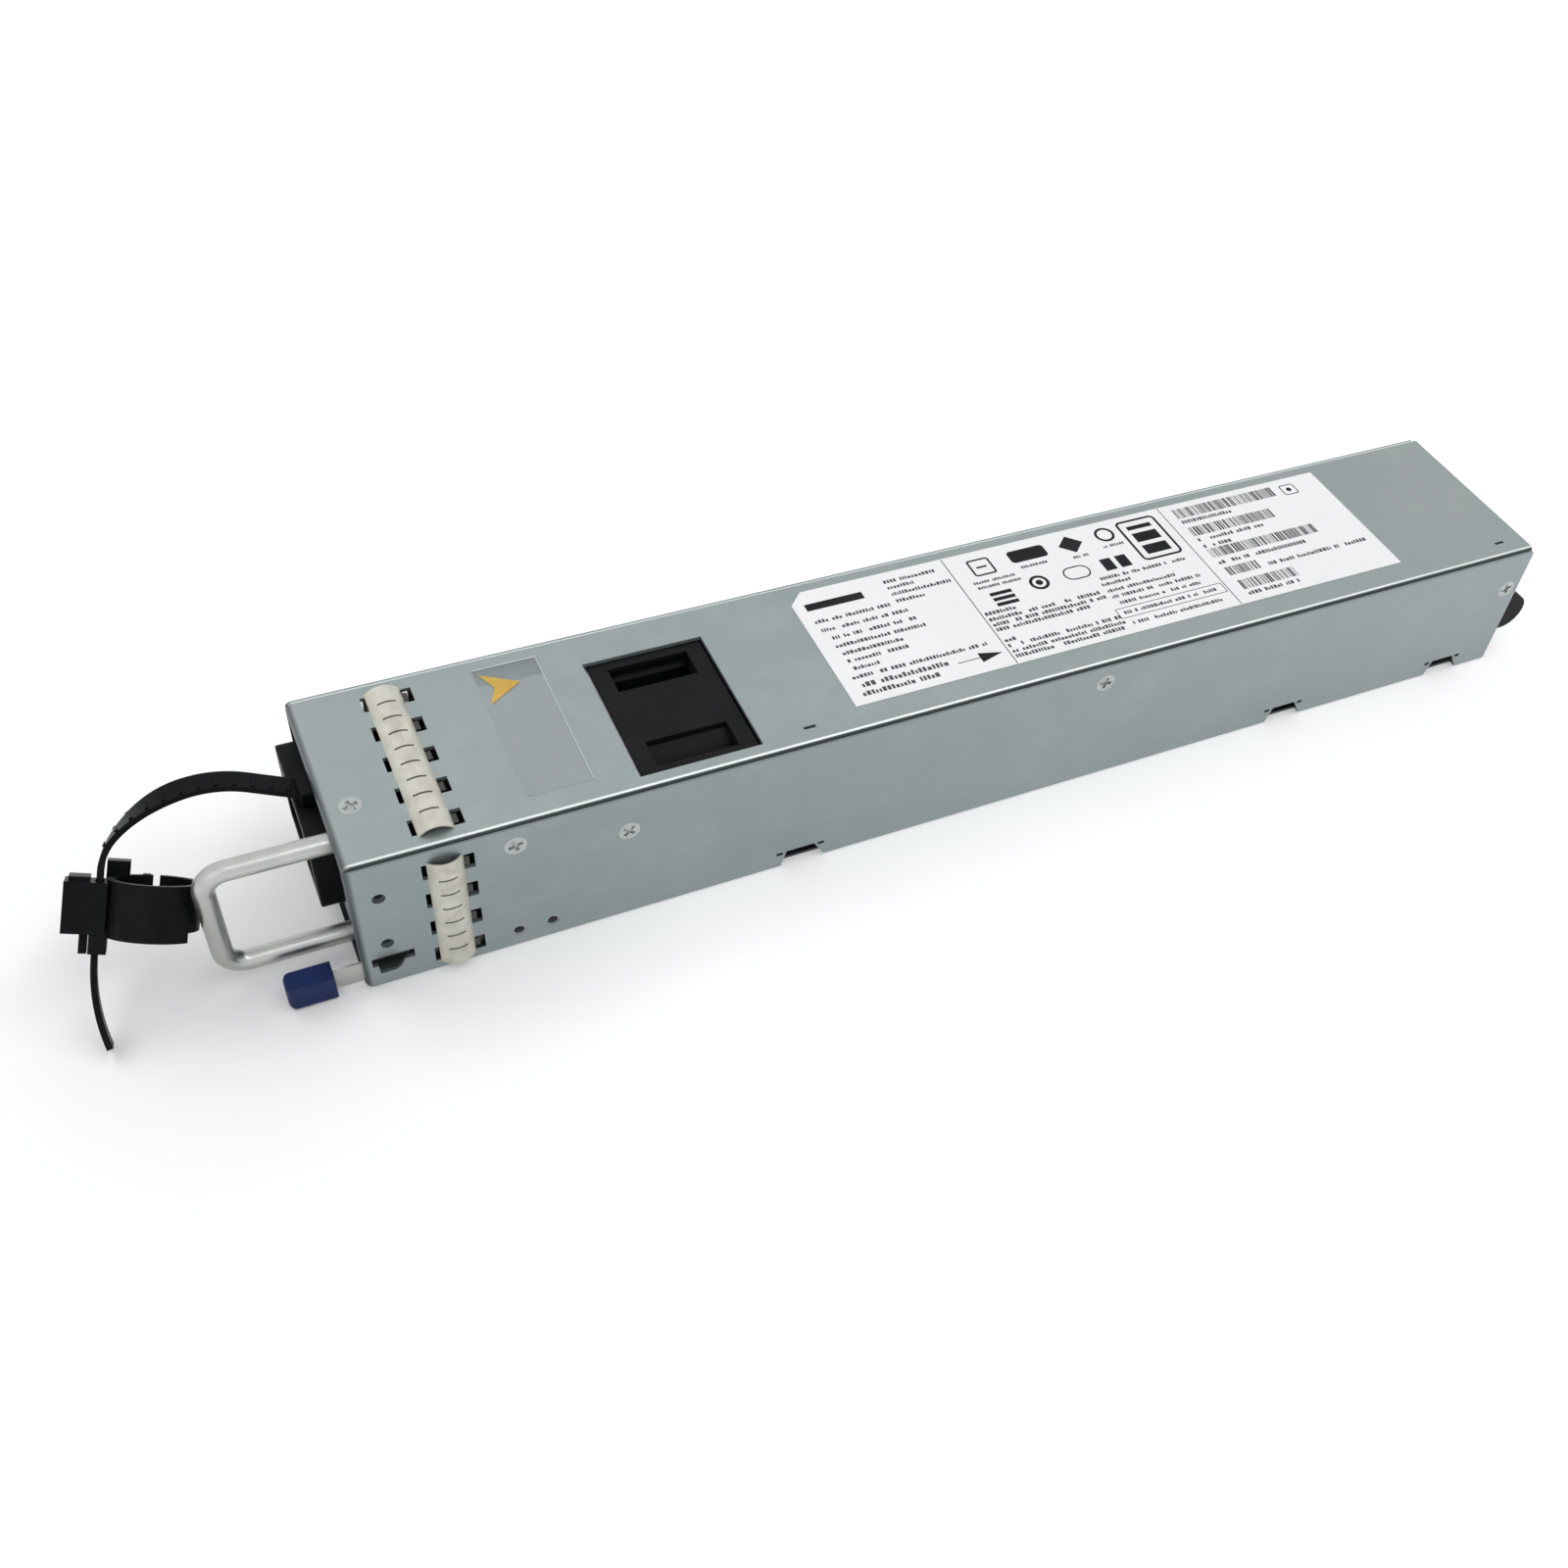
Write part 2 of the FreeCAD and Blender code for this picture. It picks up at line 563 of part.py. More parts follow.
def screw_shape(length):
    """A countersunk cross-recess screw along -Z, its head's face at zero."""
    head = size("screw_head_radius")
    shank = size("screw_radius")
    sink = size("wall")
    half = Part.makePolygon([V(0, 0, 0), V(head, 0, 0), V(shank, 0, -sink),
                             V(shank, 0, -length), V(0, 0, -length), V(0, 0, 0)])
    solid = Part.Face(half).revolve(V(0, 0, 0), V(0, 0, 1), 360)
    arm = 0.62 * head
    slot = 0.17 * head
    cross = Part.makeBox(2 * arm, 2 * slot, 1, V(-arm, -slot, -0.6))
    cross = cross.fuse(Part.makeBox(2 * slot, 2 * arm, 1, V(-slot, -arm, -0.6)))
    return solid.cut(cross)


def screws():
    """The countersunk screws: one in the cover's front edge, four in each side wall."""
    front = -size("case_length") / 2
    half = size("case_width") / 2
    screw = screw_shape(size("screw_length"))
    at = V(front + size("top_screw_x"), size("top_screw_y"), size("case_height"))
    top = screw_shape(2 * size("wall") + 1.0)
    node("cover_screw", shaped(top, FreeCAD.Placement(at, FreeCAD.Rotation(V(0, 0, 1), 20))))
    solids = []
    for sign in (-1, 1):
        for i, (x, z) in enumerate(screw_places()):
            copy = screw.copy()
            spin = FreeCAD.Rotation(V(0, 0, 1), 17 + 31 * i)
            tilt = FreeCAD.Rotation(V(1, 0, 0), -90 * sign)
            copy.Placement = FreeCAD.Placement(V(front + size(x), sign * half, size(z)),
                                               tilt.multiply(spin))
            solids.append(copy)
    node("side_screws", shaped(Part.makeCompound(solids)))


def finger_strip(fingers, pitch, hook_rows):
    """A domed strip of spring fingers: its run along Y, its dome up, its foot at zero.

    Hooks reach down through the sheet's holes, and those behind the dome end in small flags.
    """
    half = size("strip_width") / 2
    rise = size("strip_rise")
    thick = size("strip_sheet")
    run = fingers * pitch + 2 * size("strip_end")
    outer = Part.Arc(V(-half, 0, 0), V(0, 0, rise), V(half, 0, 0))
    inner = Part.Arc(V(-half + 1.4 * thick, 0, 0), V(0, 0, rise - thick),
                     V(half - 1.4 * thick, 0, 0))
    section = Part.Wire([
        outer.toShape(), Part.makeLine(V(half, 0, 0), V(half - 1.4 * thick, 0, 0)),
        inner.toShape(), Part.makeLine(V(-half + 1.4 * thick, 0, 0), V(-half, 0, 0)),
    ])
    strip = Part.Face(section).extrude(V(0, run, 0)).translate(V(0, -run / 2, 0))
    slot = size("strip_slot")
    reach = size("strip_slot_length")
    slots = []
    for k in range(1, fingers):
        y = (k - fingers / 2) * pitch - slot / 2
        slots.append(Part.makeBox(reach, slot, rise + 1, V(-reach / 2, y, 0)))
    strip = strip.cut(Part.makeCompound(slots))
    wide = size("hook_width")
    deep = size("hook_depth")
    hooks = []
    for k in range(hook_rows):
        y = (2 * k - hook_rows + 1) * pitch - wide / 2
        for side in (-half + 0.05, half - 0.05 - thick):
            hooks.append(Part.makeBox(thick, wide, deep + 0.05, V(side, y, -deep)))
        hooks.append(Part.makeBox(size("hook_flag"), wide, thick, V(half - 0.05 - thick, y, -2 * thick)))
    for hook in hooks:
        strip = strip.fuse(hook)
    return strip.removeSplitter()


def shielding_strips():
    """Finger strips clipped over the cover and both side walls, near the front."""
    x = size("strip_x") - size("case_length") / 2
    half = size("case_width") / 2
    top = finger_strip(int(size("top_fingers")), size("top_pitch"), 5)
    at = V(x, size("strip_y"), size("case_height"))
    node("emi_strip_top", shaped(top, FreeCAD.Placement(at, FreeCAD.Rotation())))
    for name, sign in (("emi_strip_near", -1), ("emi_strip_far", 1)):
        side = finger_strip(int(size("side_fingers")), size("side_pitch"), 4)
        turn = FreeCAD.Rotation(V(1, 0, 0), -90 * sign)
        at = V(x, sign * half, size("strip_z"))
        node(name, shaped(side, FreeCAD.Placement(at, turn)))


def labels():
    """The blank rating label with cut corners and the clear film beside the fan window."""
    low = "label_y - label_width/2"
    high = "label_y + label_width/2"
    end = "label_start + label_length"
    paper = prism("XY_Plane", [
        ("label_start", low), (end, low), (end, high), ("label_start + label_corner", high),
        ("label_start", f"{high} - label_corner"),
    ], "case_height", "case_height + paper")
    node("rating_label", paper)
    film = block(("film_start", "film_y - film_width/2", "case_height"),
                 ("film_start + film_length", "film_y + film_width/2", "case_height + paper"))
    node("clear_film", film)


# Front

def inlet():
    """Mains inlet: bezel and body with a cut-cornered socket, and its three blades."""
    bezel = block(("-bezel_proud", "inlet_y - bezel_width/2", "inlet_z - bezel_height/2"),
                  ("wall + slip", "inlet_y + bezel_width/2", "inlet_z + bezel_height/2"))
    bezel = smooth(bezel, size("bezel_corner"), lambda edge, at:
                   near(edge.BoundBox.XLength, edge.Length))
    face = -size("bezel_proud")
    bezel = smooth(bezel, 0.5, lambda edge, at: near(at.x, face))
    body = block(("0", "inlet_y - inlet_body_width/2", "inlet_z - inlet_body_height/2"),
                 ("inlet_body_end", "inlet_y + inlet_body_width/2",
                  "inlet_z + inlet_body_height/2"))
    wide = "socket_width/2"
    tall = "socket_height/2"
    socket = prism("YZ_Plane", [
        (f"inlet_y - {wide}", f"inlet_z - {tall}"), (f"inlet_y + {wide}", f"inlet_z - {tall}"),
        (f"inlet_y + {wide}", f"inlet_z + {tall} - socket_cut"),
        (f"inlet_y + {wide} - socket_cut", f"inlet_z + {tall}"),
        (f"inlet_y - {wide} + socket_cut", f"inlet_z + {tall}"),
        (f"inlet_y - {wide}", f"inlet_z + {tall} - socket_cut"),
    ], "-bezel_proud - 1", "socket_floor")
    slots = [pin("socket_floor - 1", "inlet_body_end + 1", y, z, "slip") for y, z in pin_places()]
    node("inlet_housing", cut(join([bezel, body]), [socket] + slots))
    pins = []
    for y, z in pin_places():
        leg = block(("pin_tail - pin_width", f"{y} - pin_width/2", BOARD_TOP),
                    ("pin_tail", f"{y} + pin_width/2", z))
        pins.append(join([pin("pin_tip", "pin_tail", y, z, "0"), leg]))
    node("inlet_pins", group(pins))


def pin_places():
    """Line, neutral and earth, as formulas for y and z."""
    return [("inlet_y - pin_spread", "inlet_z - pin_drop"),
            ("inlet_y + pin_spread", "inlet_z - pin_drop"),
            ("inlet_y", "inlet_z + earth_rise")]


def pin(start, end, y, z, gap):
    """One flat blade along X, or the slot that it passes through."""
    return block((start, f"{y} - pin_width/2 - {gap}", f"{z} - pin_height/2 - {gap}"),
                 (end, f"{y} + pin_width/2 + {gap}", f"{z} + pin_height/2 + {gap}"))


def pull_handle():
    """A bent round bar, screwed to the panel from behind through its two tapped ends."""
    low = "handle_z - handle_span/2"
    high = "handle_z + handle_span/2"
    corner = "-handle_reach + handle_radius + handle_bend"
    pieces = [
        rod("x", (corner, "handle_y", low), f"wall + slip - ({corner})", "handle_radius"),
        rod("x", (corner, "handle_y", high), f"wall + slip - ({corner})", "handle_radius"),
        rod("z", ("-handle_reach + handle_radius", "handle_y", f"{low} + handle_bend"),
            "handle_span - 2*handle_bend", "handle_radius"),
    ]
    for z, start in ((f"{low} + handle_bend", 180), (f"{high} - handle_bend", 90)):
        bend = doc.addObject("Part::Torus", "Bend")
        bend.setExpression("Radius1", ex("handle_bend"))
        bend.setExpression("Radius2", ex("handle_radius"))
        bend.Angle1 = -180
        bend.Angle2 = 180
        bend.Angle3 = 90
        turn = FreeCAD.Rotation(V(1, 0, 0), 90)
        turn = turn.multiply(FreeCAD.Rotation(V(0, 0, 1), start))
        pieces.append(place(bend, (corner, "handle_y", z), turn))
    taps = [rod("x", ("wall + slip - tap_depth", "handle_y", z), "tap_depth + 1", "tap_radius")
            for z in (low, high)]
    node("pull_handle", cut(join(pieces), taps))
    solids = []
    for z in (low, high):
        shank = rod("x", ("wall + slip - tap_depth + 1", "handle_y", z), "wall + tap_depth - 1",
                    "tap_radius - thread_gap")
        head = rod("x", ("2*wall + slip", "handle_y", z), "1.8", "screw_head_radius")
        solids.append(join([shank, head]))
    node("handle_screws", group(solids))


def side_latch():
    """Leaf along the near wall with a ramped tooth, its thumb cap and the two rivets."""
    top = "leaf_low + leaf_height"
    crest = "tooth_low + tooth_height"
    rear = "tooth_start + tooth_length"
    leaf = prism("XZ_Plane", [
        ("-leaf_start", "leaf_low + 0.6"), ("-leaf_head_end", "leaf_low + 0.6"),
        ("-leaf_head_end + 1", "leaf_low"), ("leaf_end", "leaf_low"), ("leaf_end", top),
        (f"{rear} + 1.4", top), (f"{rear} + 0.4", crest), ("tooth_start - 0.6", crest),
        ("tooth_start - 1.6", top), ("-leaf_head_end + 2.2", top),
        ("-leaf_head_end", "leaf_low + leaf_head_height"),
        ("-leaf_start", "leaf_low + leaf_head_height"),
    ], "leaf_y", "leaf_y + leaf_sheet")
    tip = "-case_width/2 - tooth_proud"
    tooth = prism("XY_Plane", [
        ("tooth_start", "leaf_y + leaf_sheet/2"), ("tooth_start", tip),
        ("tooth_start + tooth_flat", tip), ("tooth_start + tooth_flat + 1.3", f"{tip} + 0.6"),
        (rear, "leaf_y"), (rear, "leaf_y + leaf_sheet/2"),
    ], "tooth_low", crest)
    holes = [rod("y", (x, "leaf_y - 1", "rivet_z"), "leaf_sheet + 2",
                 "rivet_radius + 0.2") for x in ("rivet_1_x", "rivet_2_x")]
    node("latch_spring", cut(join([leaf, tooth]), holes))
    middle = "leaf_y + leaf_sheet/2"
    cap = block(("-cap_start", f"{middle} - cap_thickness/2", "cap_low"),
                ("-cap_end", f"{middle} + cap_thickness/2", "cap_low + cap_height"))
    end = -size("cap_start")
    cap = smooth(cap, size("cap_corner"), lambda edge, at: near(at.x, end))
    pocket = block(("-leaf_start - slip", "leaf_y - slip", "leaf_low + 0.6 - slip"),
                   ("0", "leaf_y + leaf_sheet + slip", "leaf_low + leaf_head_height + slip"))
    node("latch_cap", cut(cap, [pocket]))
    rivets = []
    for x, play in (("rivet_1_x", "rivet_play"), ("rivet_2_x", "rivet_slack")):
        start = "-case_width/2 + 0.1"
        inside = f"leaf_y + leaf_sheet + {play}"
        barrel = rod("y", (x, start, "rivet_z"), f"{inside} - ({start})", "rivet_radius")
        flange = rod("y", (x, inside, "rivet_z"), "0.4", "rivet_flange")
        spacer = rod("y", (x, "-case_width/2 + wall", "rivet_z"),
                     "leaf_gap - rivet_slack", "rivet_flange")
        bore = rod("y", (x, f"{start} - 1", "rivet_z"), "6", "rivet_bore")
        rivets.append(cut(join([barrel, flange, spacer]), [bore]))
    node("latch_rivets", group(rivets))


def status_lenses():
    """Two small light pipes in the panel."""
    lenses = []
    for z in ("lens_low", "lens_high"):
        stem = rod("x", ("wall + slip - 0.5", "lens_y", z), "wall + 3", "lens_radius")
        collar = rod("x", ("2*wall + slip", "lens_y", z), "1.2", "lens_radius + 0.5")
        lenses.append(join([stem, collar]))
    node("status_lenses", group(lenses))


def strap_path():
    """Steps along the strap's centre line: length or radius, first heading, last heading."""
    return [
        ("run", size("strap_run"), -size("strap_rise"), -size("strap_rise")),
        ("arc", size("strap_bow"), -size("strap_rise"), size("strap_bow_end")),
        ("arc", size("strap_turn"), size("strap_bow_end"), size("strap_fall")),
        ("run", size("strap_straight"), size("strap_fall"), size("strap_fall")),
        ("arc", size("strap_tail"), size("strap_fall"), size("strap_tail_end")),
    ]


def heading(angle):
    """Unit direction of travel in the strap's own plane: forward is -X, positive angles fall."""
    return V(-math.cos(math.radians(angle)), 0, -math.sin(math.radians(angle)))


def outward(angle):
    """Unit direction to the outside of the bend."""
    return V(-math.sin(math.radians(angle)), 0, math.cos(math.radians(angle)))


def on_step(start, step, part):
    """The point and heading a given part of the way along a step."""
    kind, length, first, last = step
    angle = first + (last - first) * part
    if kind == "run":
        return start + heading(first) * (length * part), angle
    return start - outward(first) * length + outward(angle) * length, angle


def step_length(step):
    """How much of the strap a step takes."""
    kind, length, first, last = step
    return length if kind == "run" else length * math.radians(last - first)


def step_start(number):
    """Where a step of the path starts."""
    at = V(0, 0, -size("strap_drop"))
    for step in strap_path()[:number]:
        at = on_step(at, step, 1)[0]
    return at


def strap_frame():
    """Where the strap's own plane lies: leaning towards the near side."""
    at = V(-size("case_length") / 2, size("strap_y"), size("strap_z"))
    return FreeCAD.Placement(at, FreeCAD.Rotation(V(1, 0, 0), -size("strap_lean")))


def bow_stations(pitch, start):
    """Places along the strap from foot to clamp: point, heading and twist, at a pitch."""
    steps = strap_path()[:3]
    total = sum(step_length(step) for step in steps)
    lean = math.tan(math.radians(size("strap_lean")))
    stations = []
    done = 0.0
    for number, step in enumerate(steps):
        span = step_length(step)
        while start <= done + span + 1e-6:
            at, angle = on_step(step_start(number), step, (start - done) / span)
            left = min(1.0, max(0.0, (total - 2.0 - start) / 22.0))
            fade = left * left * (3 - 2 * left)
            twist = math.atan(lean * math.cos(math.radians(angle))) * fade
            stations.append((at, angle, twist))
            start += pitch
        done += span
    return stations


def cross_axes(angle, twist):
    """Directions across the strap and through its thickness."""
    flat = V(0, 1, 0)
    out = outward(angle)
    across = flat * math.cos(twist) + out * math.sin(twist)
    through = out * math.cos(twist) - flat * math.sin(twist)
    return across, through


def bow():
    """The strap from its foot over the bow, turning from level to the plane of its fall."""
    total = sum(step_length(step) for step in strap_path()[:3])
    wires = []
    for at, angle, twist in bow_stations(total / 26, 0.0):
        across, through = cross_axes(angle, twist)
        corners = []
        for a, b in ((-1, -1), (1, -1), (1, 1), (-1, 1)):
            corners.append(at + across * (a * size("strap_width") / 2)
                           + through * (b * size("strap_sheet") / 2))
        wires.append(Part.makePolygon(corners + corners[:1]))
    return Part.makeLoft(wires, True, False)


def fall():
    """The straight run that the clamp slides on and the curved tail, as one flat band."""
    steps = strap_path()
    half = size("strap_sheet") / 2
    edges = []
    sides = []
    for shift in (half, -half):
        side = []
        for number in (3, 4):
            start = step_start(number)
            points = []
            for part in (0, 0.5, 1):
                at, angle = on_step(start, steps[number], part)
                points.append(at + outward(angle) * shift)
            if number == 3:
                side.append(Part.makeLine(points[0], points[2]))
            else:
                side.append(Part.Arc(*points).toShape())
            ends = points[2]
        edges += side
        sides.append((side[0].Vertexes[0].Point, ends))
    (start_a, end_a), (start_b, end_b) = sides
    edges += [Part.makeLine(start_a, start_b), Part.makeLine(end_a, end_b)]
    wire = Part.Wire(Part.__sortEdges__(edges))
    wide = size("strap_width")
    return Part.Face(wire).extrude(V(0, wide, 0)).translate(V(0, -wide / 2, 0))


def strap_rungs():
    """Low ribs across the strap's upper face, between foot and clamp."""
    wide = size("strap_width") - 1.2
    deep = size("rung_width")
    tall = size("rung_height")
    rungs = []
    for at, angle, twist in bow_stations(size("rung_pitch"), size("rung_pitch") + 1.0)[:-1]:
        across, through = cross_axes(angle, twist)
        box = Part.makeBox(deep, wide, tall + 0.3,
                           V(-deep / 2, -wide / 2, size("strap_sheet") / 2 - 0.3))
        turn = FreeCAD.Rotation(across.cross(through), across, through, "ZYX")
        box.Placement = FreeCAD.Placement(at, turn)
        rungs.append(box)
    return rungs


def retention_strap():
    """Moulded strap with its snap foot in the panel, bowed over and down to the bench."""
    strap = bow().fuse([fall()] + strap_rungs())
    strap.Placement = strap_frame()
    front = -size("case_length") / 2
    y = size("foot_y")
    z = size("foot_z")
    tall = size("foot_height")
    broad = size("foot_width")
    back = size("wall") + size("slip")
    proud = size("foot_proud")
    foot = Part.makeBox(proud + back, broad, tall, V(front - proud, y - broad / 2, z - tall / 2))
    stem = Part.makeBox(4.2, broad / 2, tall / 2, V(front, y - broad / 4, z - tall / 4))
    barb = Part.makeBox(1.2, broad / 2, tall / 2 + 1.0,
                        V(front + 2 * back + 0.1, y - broad / 4, z - tall / 4 - 0.5))
    node("retention_strap", shaped(strap.fuse([foot, stem, barb])))


def clamp_frame():
    """Where the clamp sits on the strap's straight run: its axis along the run."""
    fall_angle = size("strap_fall")
    at = step_start(3) + heading(fall_angle) * (size("clamp_rest") + size("clamp_length"))
    local = FreeCAD.Placement(at, FreeCAD.Rotation(V(0, 1, 0), 90 - fall_angle))
    return strap_frame().multiply(local)


def cord_clamp():
    """Ratchet head on the strap with a split ring for the cord, moulded in one."""
    long = size("clamp_length")
    back = size("clamp_back")
    ahead = size("clamp_front")
    wide = size("clamp_width")
    slip = size("clamp_slip")
    sheet = size("strap_sheet")
    radius = size("ring_radius")
    tall = size("ring_length")
    low = (long - tall) / 2
    middle = size("ring_offset")
    head = Part.makeBox(back + ahead, wide, long, V(-back, -wide / 2, 0))
    mouth = Part.makeBox(back - 2.6, wide - 2.4, 1.6, V(-back + 0.8, -(wide - 2.4) / 2,
                                                        long - 0.6))
    release = Part.makeBox(size("release_width"), 3.6, size("release_length") + 1,
                           V(-2.4 - size("release_width") / 2, -1.8, -size("release_length")))
    collar = Part.makeBox(sheet / 2 + slip + 2.7, wide - 0.8, size("collar_length") + 1,
                          V(-sheet / 2 - slip - 0.5, -(wide - 0.8) / 2,
                            -size("collar_length")))
    ring = Part.makeCylinder(radius, tall, V(middle, 0, low))
    keeper = Part.makeBox(4.6, 4.4, tall + 1.0, V(middle - 9.7, 5.6, low + 2.0))
    catch = Part.makeBox(4.2, 2.6, tall - 1.2, V(middle - 4.8, radius - 1.9, low + 0.6))
    tooth = Part.makeBox(1.6, 2.0, tall - 0.9, V(middle - 2.6, radius - 1.3, low + 1.0))
    clamp = head.fuse([mouth, release, collar, ring, keeper, catch, tooth])
    bore = Part.makeCylinder(radius - size("ring_wall"), tall + 8, V(middle, 0, low - 2))
    gap = size("ring_gap")
    split = Part.makeBox(gap, 8, tall + 2, V(middle - 0.5, radius - 4.5, low - 1))
    corner = Part.makeBox(3, 2 * radius, 2.2, V(middle + 7.0, -radius, low - 0.1))
    across = size("strap_width") + 2 * slip
    channel = Part.makeBox(sheet + 2 * slip, across, long + 4, V(-sheet / 2 - slip, -across / 2, -1))
    guide = Part.makeBox(sheet + 5 * slip, across, size("collar_length") + 2,
                         V(-sheet / 2 - slip, -across / 2, -size("collar_length") - 1))
    clamp = clamp.cut(Part.makeCompound([bore, split, corner, channel.fuse(guide)]))
    node("cord_clamp", shaped(clamp, clamp_frame()))


# Fan

def fan():
    """Frame with side pockets and hub base, bearing, stator, and the bladed rotor."""
    end = "fan_x + fan_depth"
    middle = "case_height/2"
    side = "fan_side/2"
    frame = block(("fan_x", f"fan_y - {side}", f"{middle} - {side}"),
                  (end, f"fan_y + {side}", f"{middle} + {side}"))
    tools = [rod("x", ("fan_x - 1", "fan_y", middle), "fan_depth + 2", "fan_bore")]
    tools += fan_pockets()
    for dy in ("-", "+"):
        for dz in ("-", "+"):
            tools.append(rod("x", ("fan_x - 1", f"fan_y {dy} fan_hole_pitch/2",
                                   f"{middle} {dz} fan_hole_pitch/2"),
                             "fan_depth + 2", "fan_hole_radius"))
    shell = cut(frame, tools)
    base = rod("x", (f"{end} - 4.3", "fan_y", middle), "4", "hub_radius - 0.4")
    tube = rod("x", ("fan_x + 8", "fan_y", middle), "fan_depth - 9", "bearing_radius + 1.1")
    struts = [
        block((f"{end} - 3.6", "fan_y - fan_bore - 0.4", f"{middle} - 0.9"),
              (f"{end} - 0.6", "fan_y + fan_bore + 0.4", f"{middle} + 0.9")),
        block((f"{end} - 3.6", "fan_y - 0.9", f"{middle} - fan_bore - 0.4"),
              (f"{end} - 0.6", "fan_y + 0.9", f"{middle} + fan_bore + 0.4")),
    ]
    bore = rod("x", ("fan_x", "fan_y", middle), "fan_depth - 2", "bearing_radius + slip")
    node("fan_frame", cut(join([shell, base, tube] + struts), [bore]))
    sleeve = rod("x", ("fan_x + 8", "fan_y", middle), "fan_depth - 11", "bearing_radius")
    hole = rod("x", ("fan_x + 7", "fan_y", middle), "fan_depth", "shaft_radius + bearing_gap")
    node("fan_bearing", cut(sleeve, [hole]))
    coil = rod("x", ("fan_x + 9", "fan_y", middle), "fan_depth - 14.5", "hub_radius - 3")
    core = rod("x", ("fan_x + 8", "fan_y", middle), "fan_depth", "bearing_radius + 1.1 + slip")
    node("fan_stator", cut(coil, [core]))
    node("fan_rotor", fan_rotor())


def fan_pockets():
    """The open pockets beside the duct between the frame's two flanges."""
    pockets = []
    middle = "case_height/2"
    duct = "bore_ring"
    for dy in ("-", "+"):
        for dz in ("-", "+"):
            a = f"fan_y {dy} (fan_side/2 - 2.4)"
            b = f"fan_y {dy} 8.6"
            c = f"{middle} {dz} (fan_side/2 + 1)"
            d = f"{middle} {dz} 9.6"
            low_y, high_y = (a, b) if dy == "-" else (b, a)
            low_z, high_z = (c, d) if dz == "-" else (d, c)
            corner = block(("fan_x + fan_flange", low_y, low_z),
                           ("fan_x + fan_depth - fan_flange", high_y, high_z))
            pockets.append(cut(corner, [rod("x", ("fan_x", "fan_y", middle), "fan_depth", duct)]))
    return pockets


def fan_rotor():
    """Hub cup, shaft and pitched blades, turned on the fan's own axis."""
    hub = size("hub_radius")
    shaft = size("shaft_radius")
    start, end = size("blade_start"), size("blade_end")
    outline_points = [
        V(start - 1, 0, 0), V(start - 1, hub - 1.6, 0), V(start - 0.2, hub - 0.4, 0),
        V(start + 0.8, hub, 0), V(end, hub, 0), V(end, hub - 1.2, 0), V(start + 1.2, hub - 1.2, 0),
        V(start + 1.2, shaft, 0), V(size("fan_depth") - 5, shaft, 0),
        V(size("fan_depth") - 5, 0, 0), V(start - 1, 0, 0),
    ]
    rotor = Part.Face(Part.makePolygon(outline_points)).revolve(V(0, 0, 0), V(1, 0, 0), 360)
    count = int(size("blade_count"))
    blade = fan_blade()
    blades = []
    for k in range(count):
        copy = blade.copy()
        copy.rotate(V(0, 0, 0), V(1, 0, 0), 360.0 * k / count)
        blades.append(copy)
    rotor = rotor.fuse(blades)
    at = V(size("fan_x") - size("case_length") / 2, size("fan_y"), size("case_height") / 2)
    return shaped(rotor, FreeCAD.Placement(at, FreeCAD.Rotation()))


def fan_blade():
    """One pitched and twisted blade, lofted outward and trimmed to hub and tip radius."""
    tip = size("fan_bore") - size("blade_gap")
    middle = (size("blade_start") + size("blade_end")) / 2
    span = size("blade_end") - size("blade_start") - 1.5
    thick = size("blade_sheet")
    wires = []
    for height, pitch in ((size("hub_radius") - 3, size("blade_pitch_root")),
                          (tip + 1, size("blade_pitch_tip"))):
        chord = span / math.cos(math.radians(pitch)) / 2 * 0.92
        along = V(math.cos(math.radians(pitch)), math.sin(math.radians(pitch)), 0)
        across = V(-along.y, along.x, 0)
        corners = []
        for s, t in ((-1, -0.2), (-0.2, -0.5), (1, -0.15), (1, 0.15), (-0.2, 0.5), (-1, 0.2)):
            at = along * (s * chord) + across * (t * thick)
            corners.append(V(middle + at.x, at.y, height))
        wires.append(Part.makePolygon(corners + corners[:1]))
    blade = Part.makeLoft(wires, True, True)
    depth = size("fan_depth")
    blade = blade.common(Part.makeCylinder(tip, depth, V(0, 0, 0), V(1, 0, 0)))
    return blade.cut(Part.makeCylinder(size("hub_radius") - 0.6, depth, V(0, 0, 0), V(1, 0, 0)))


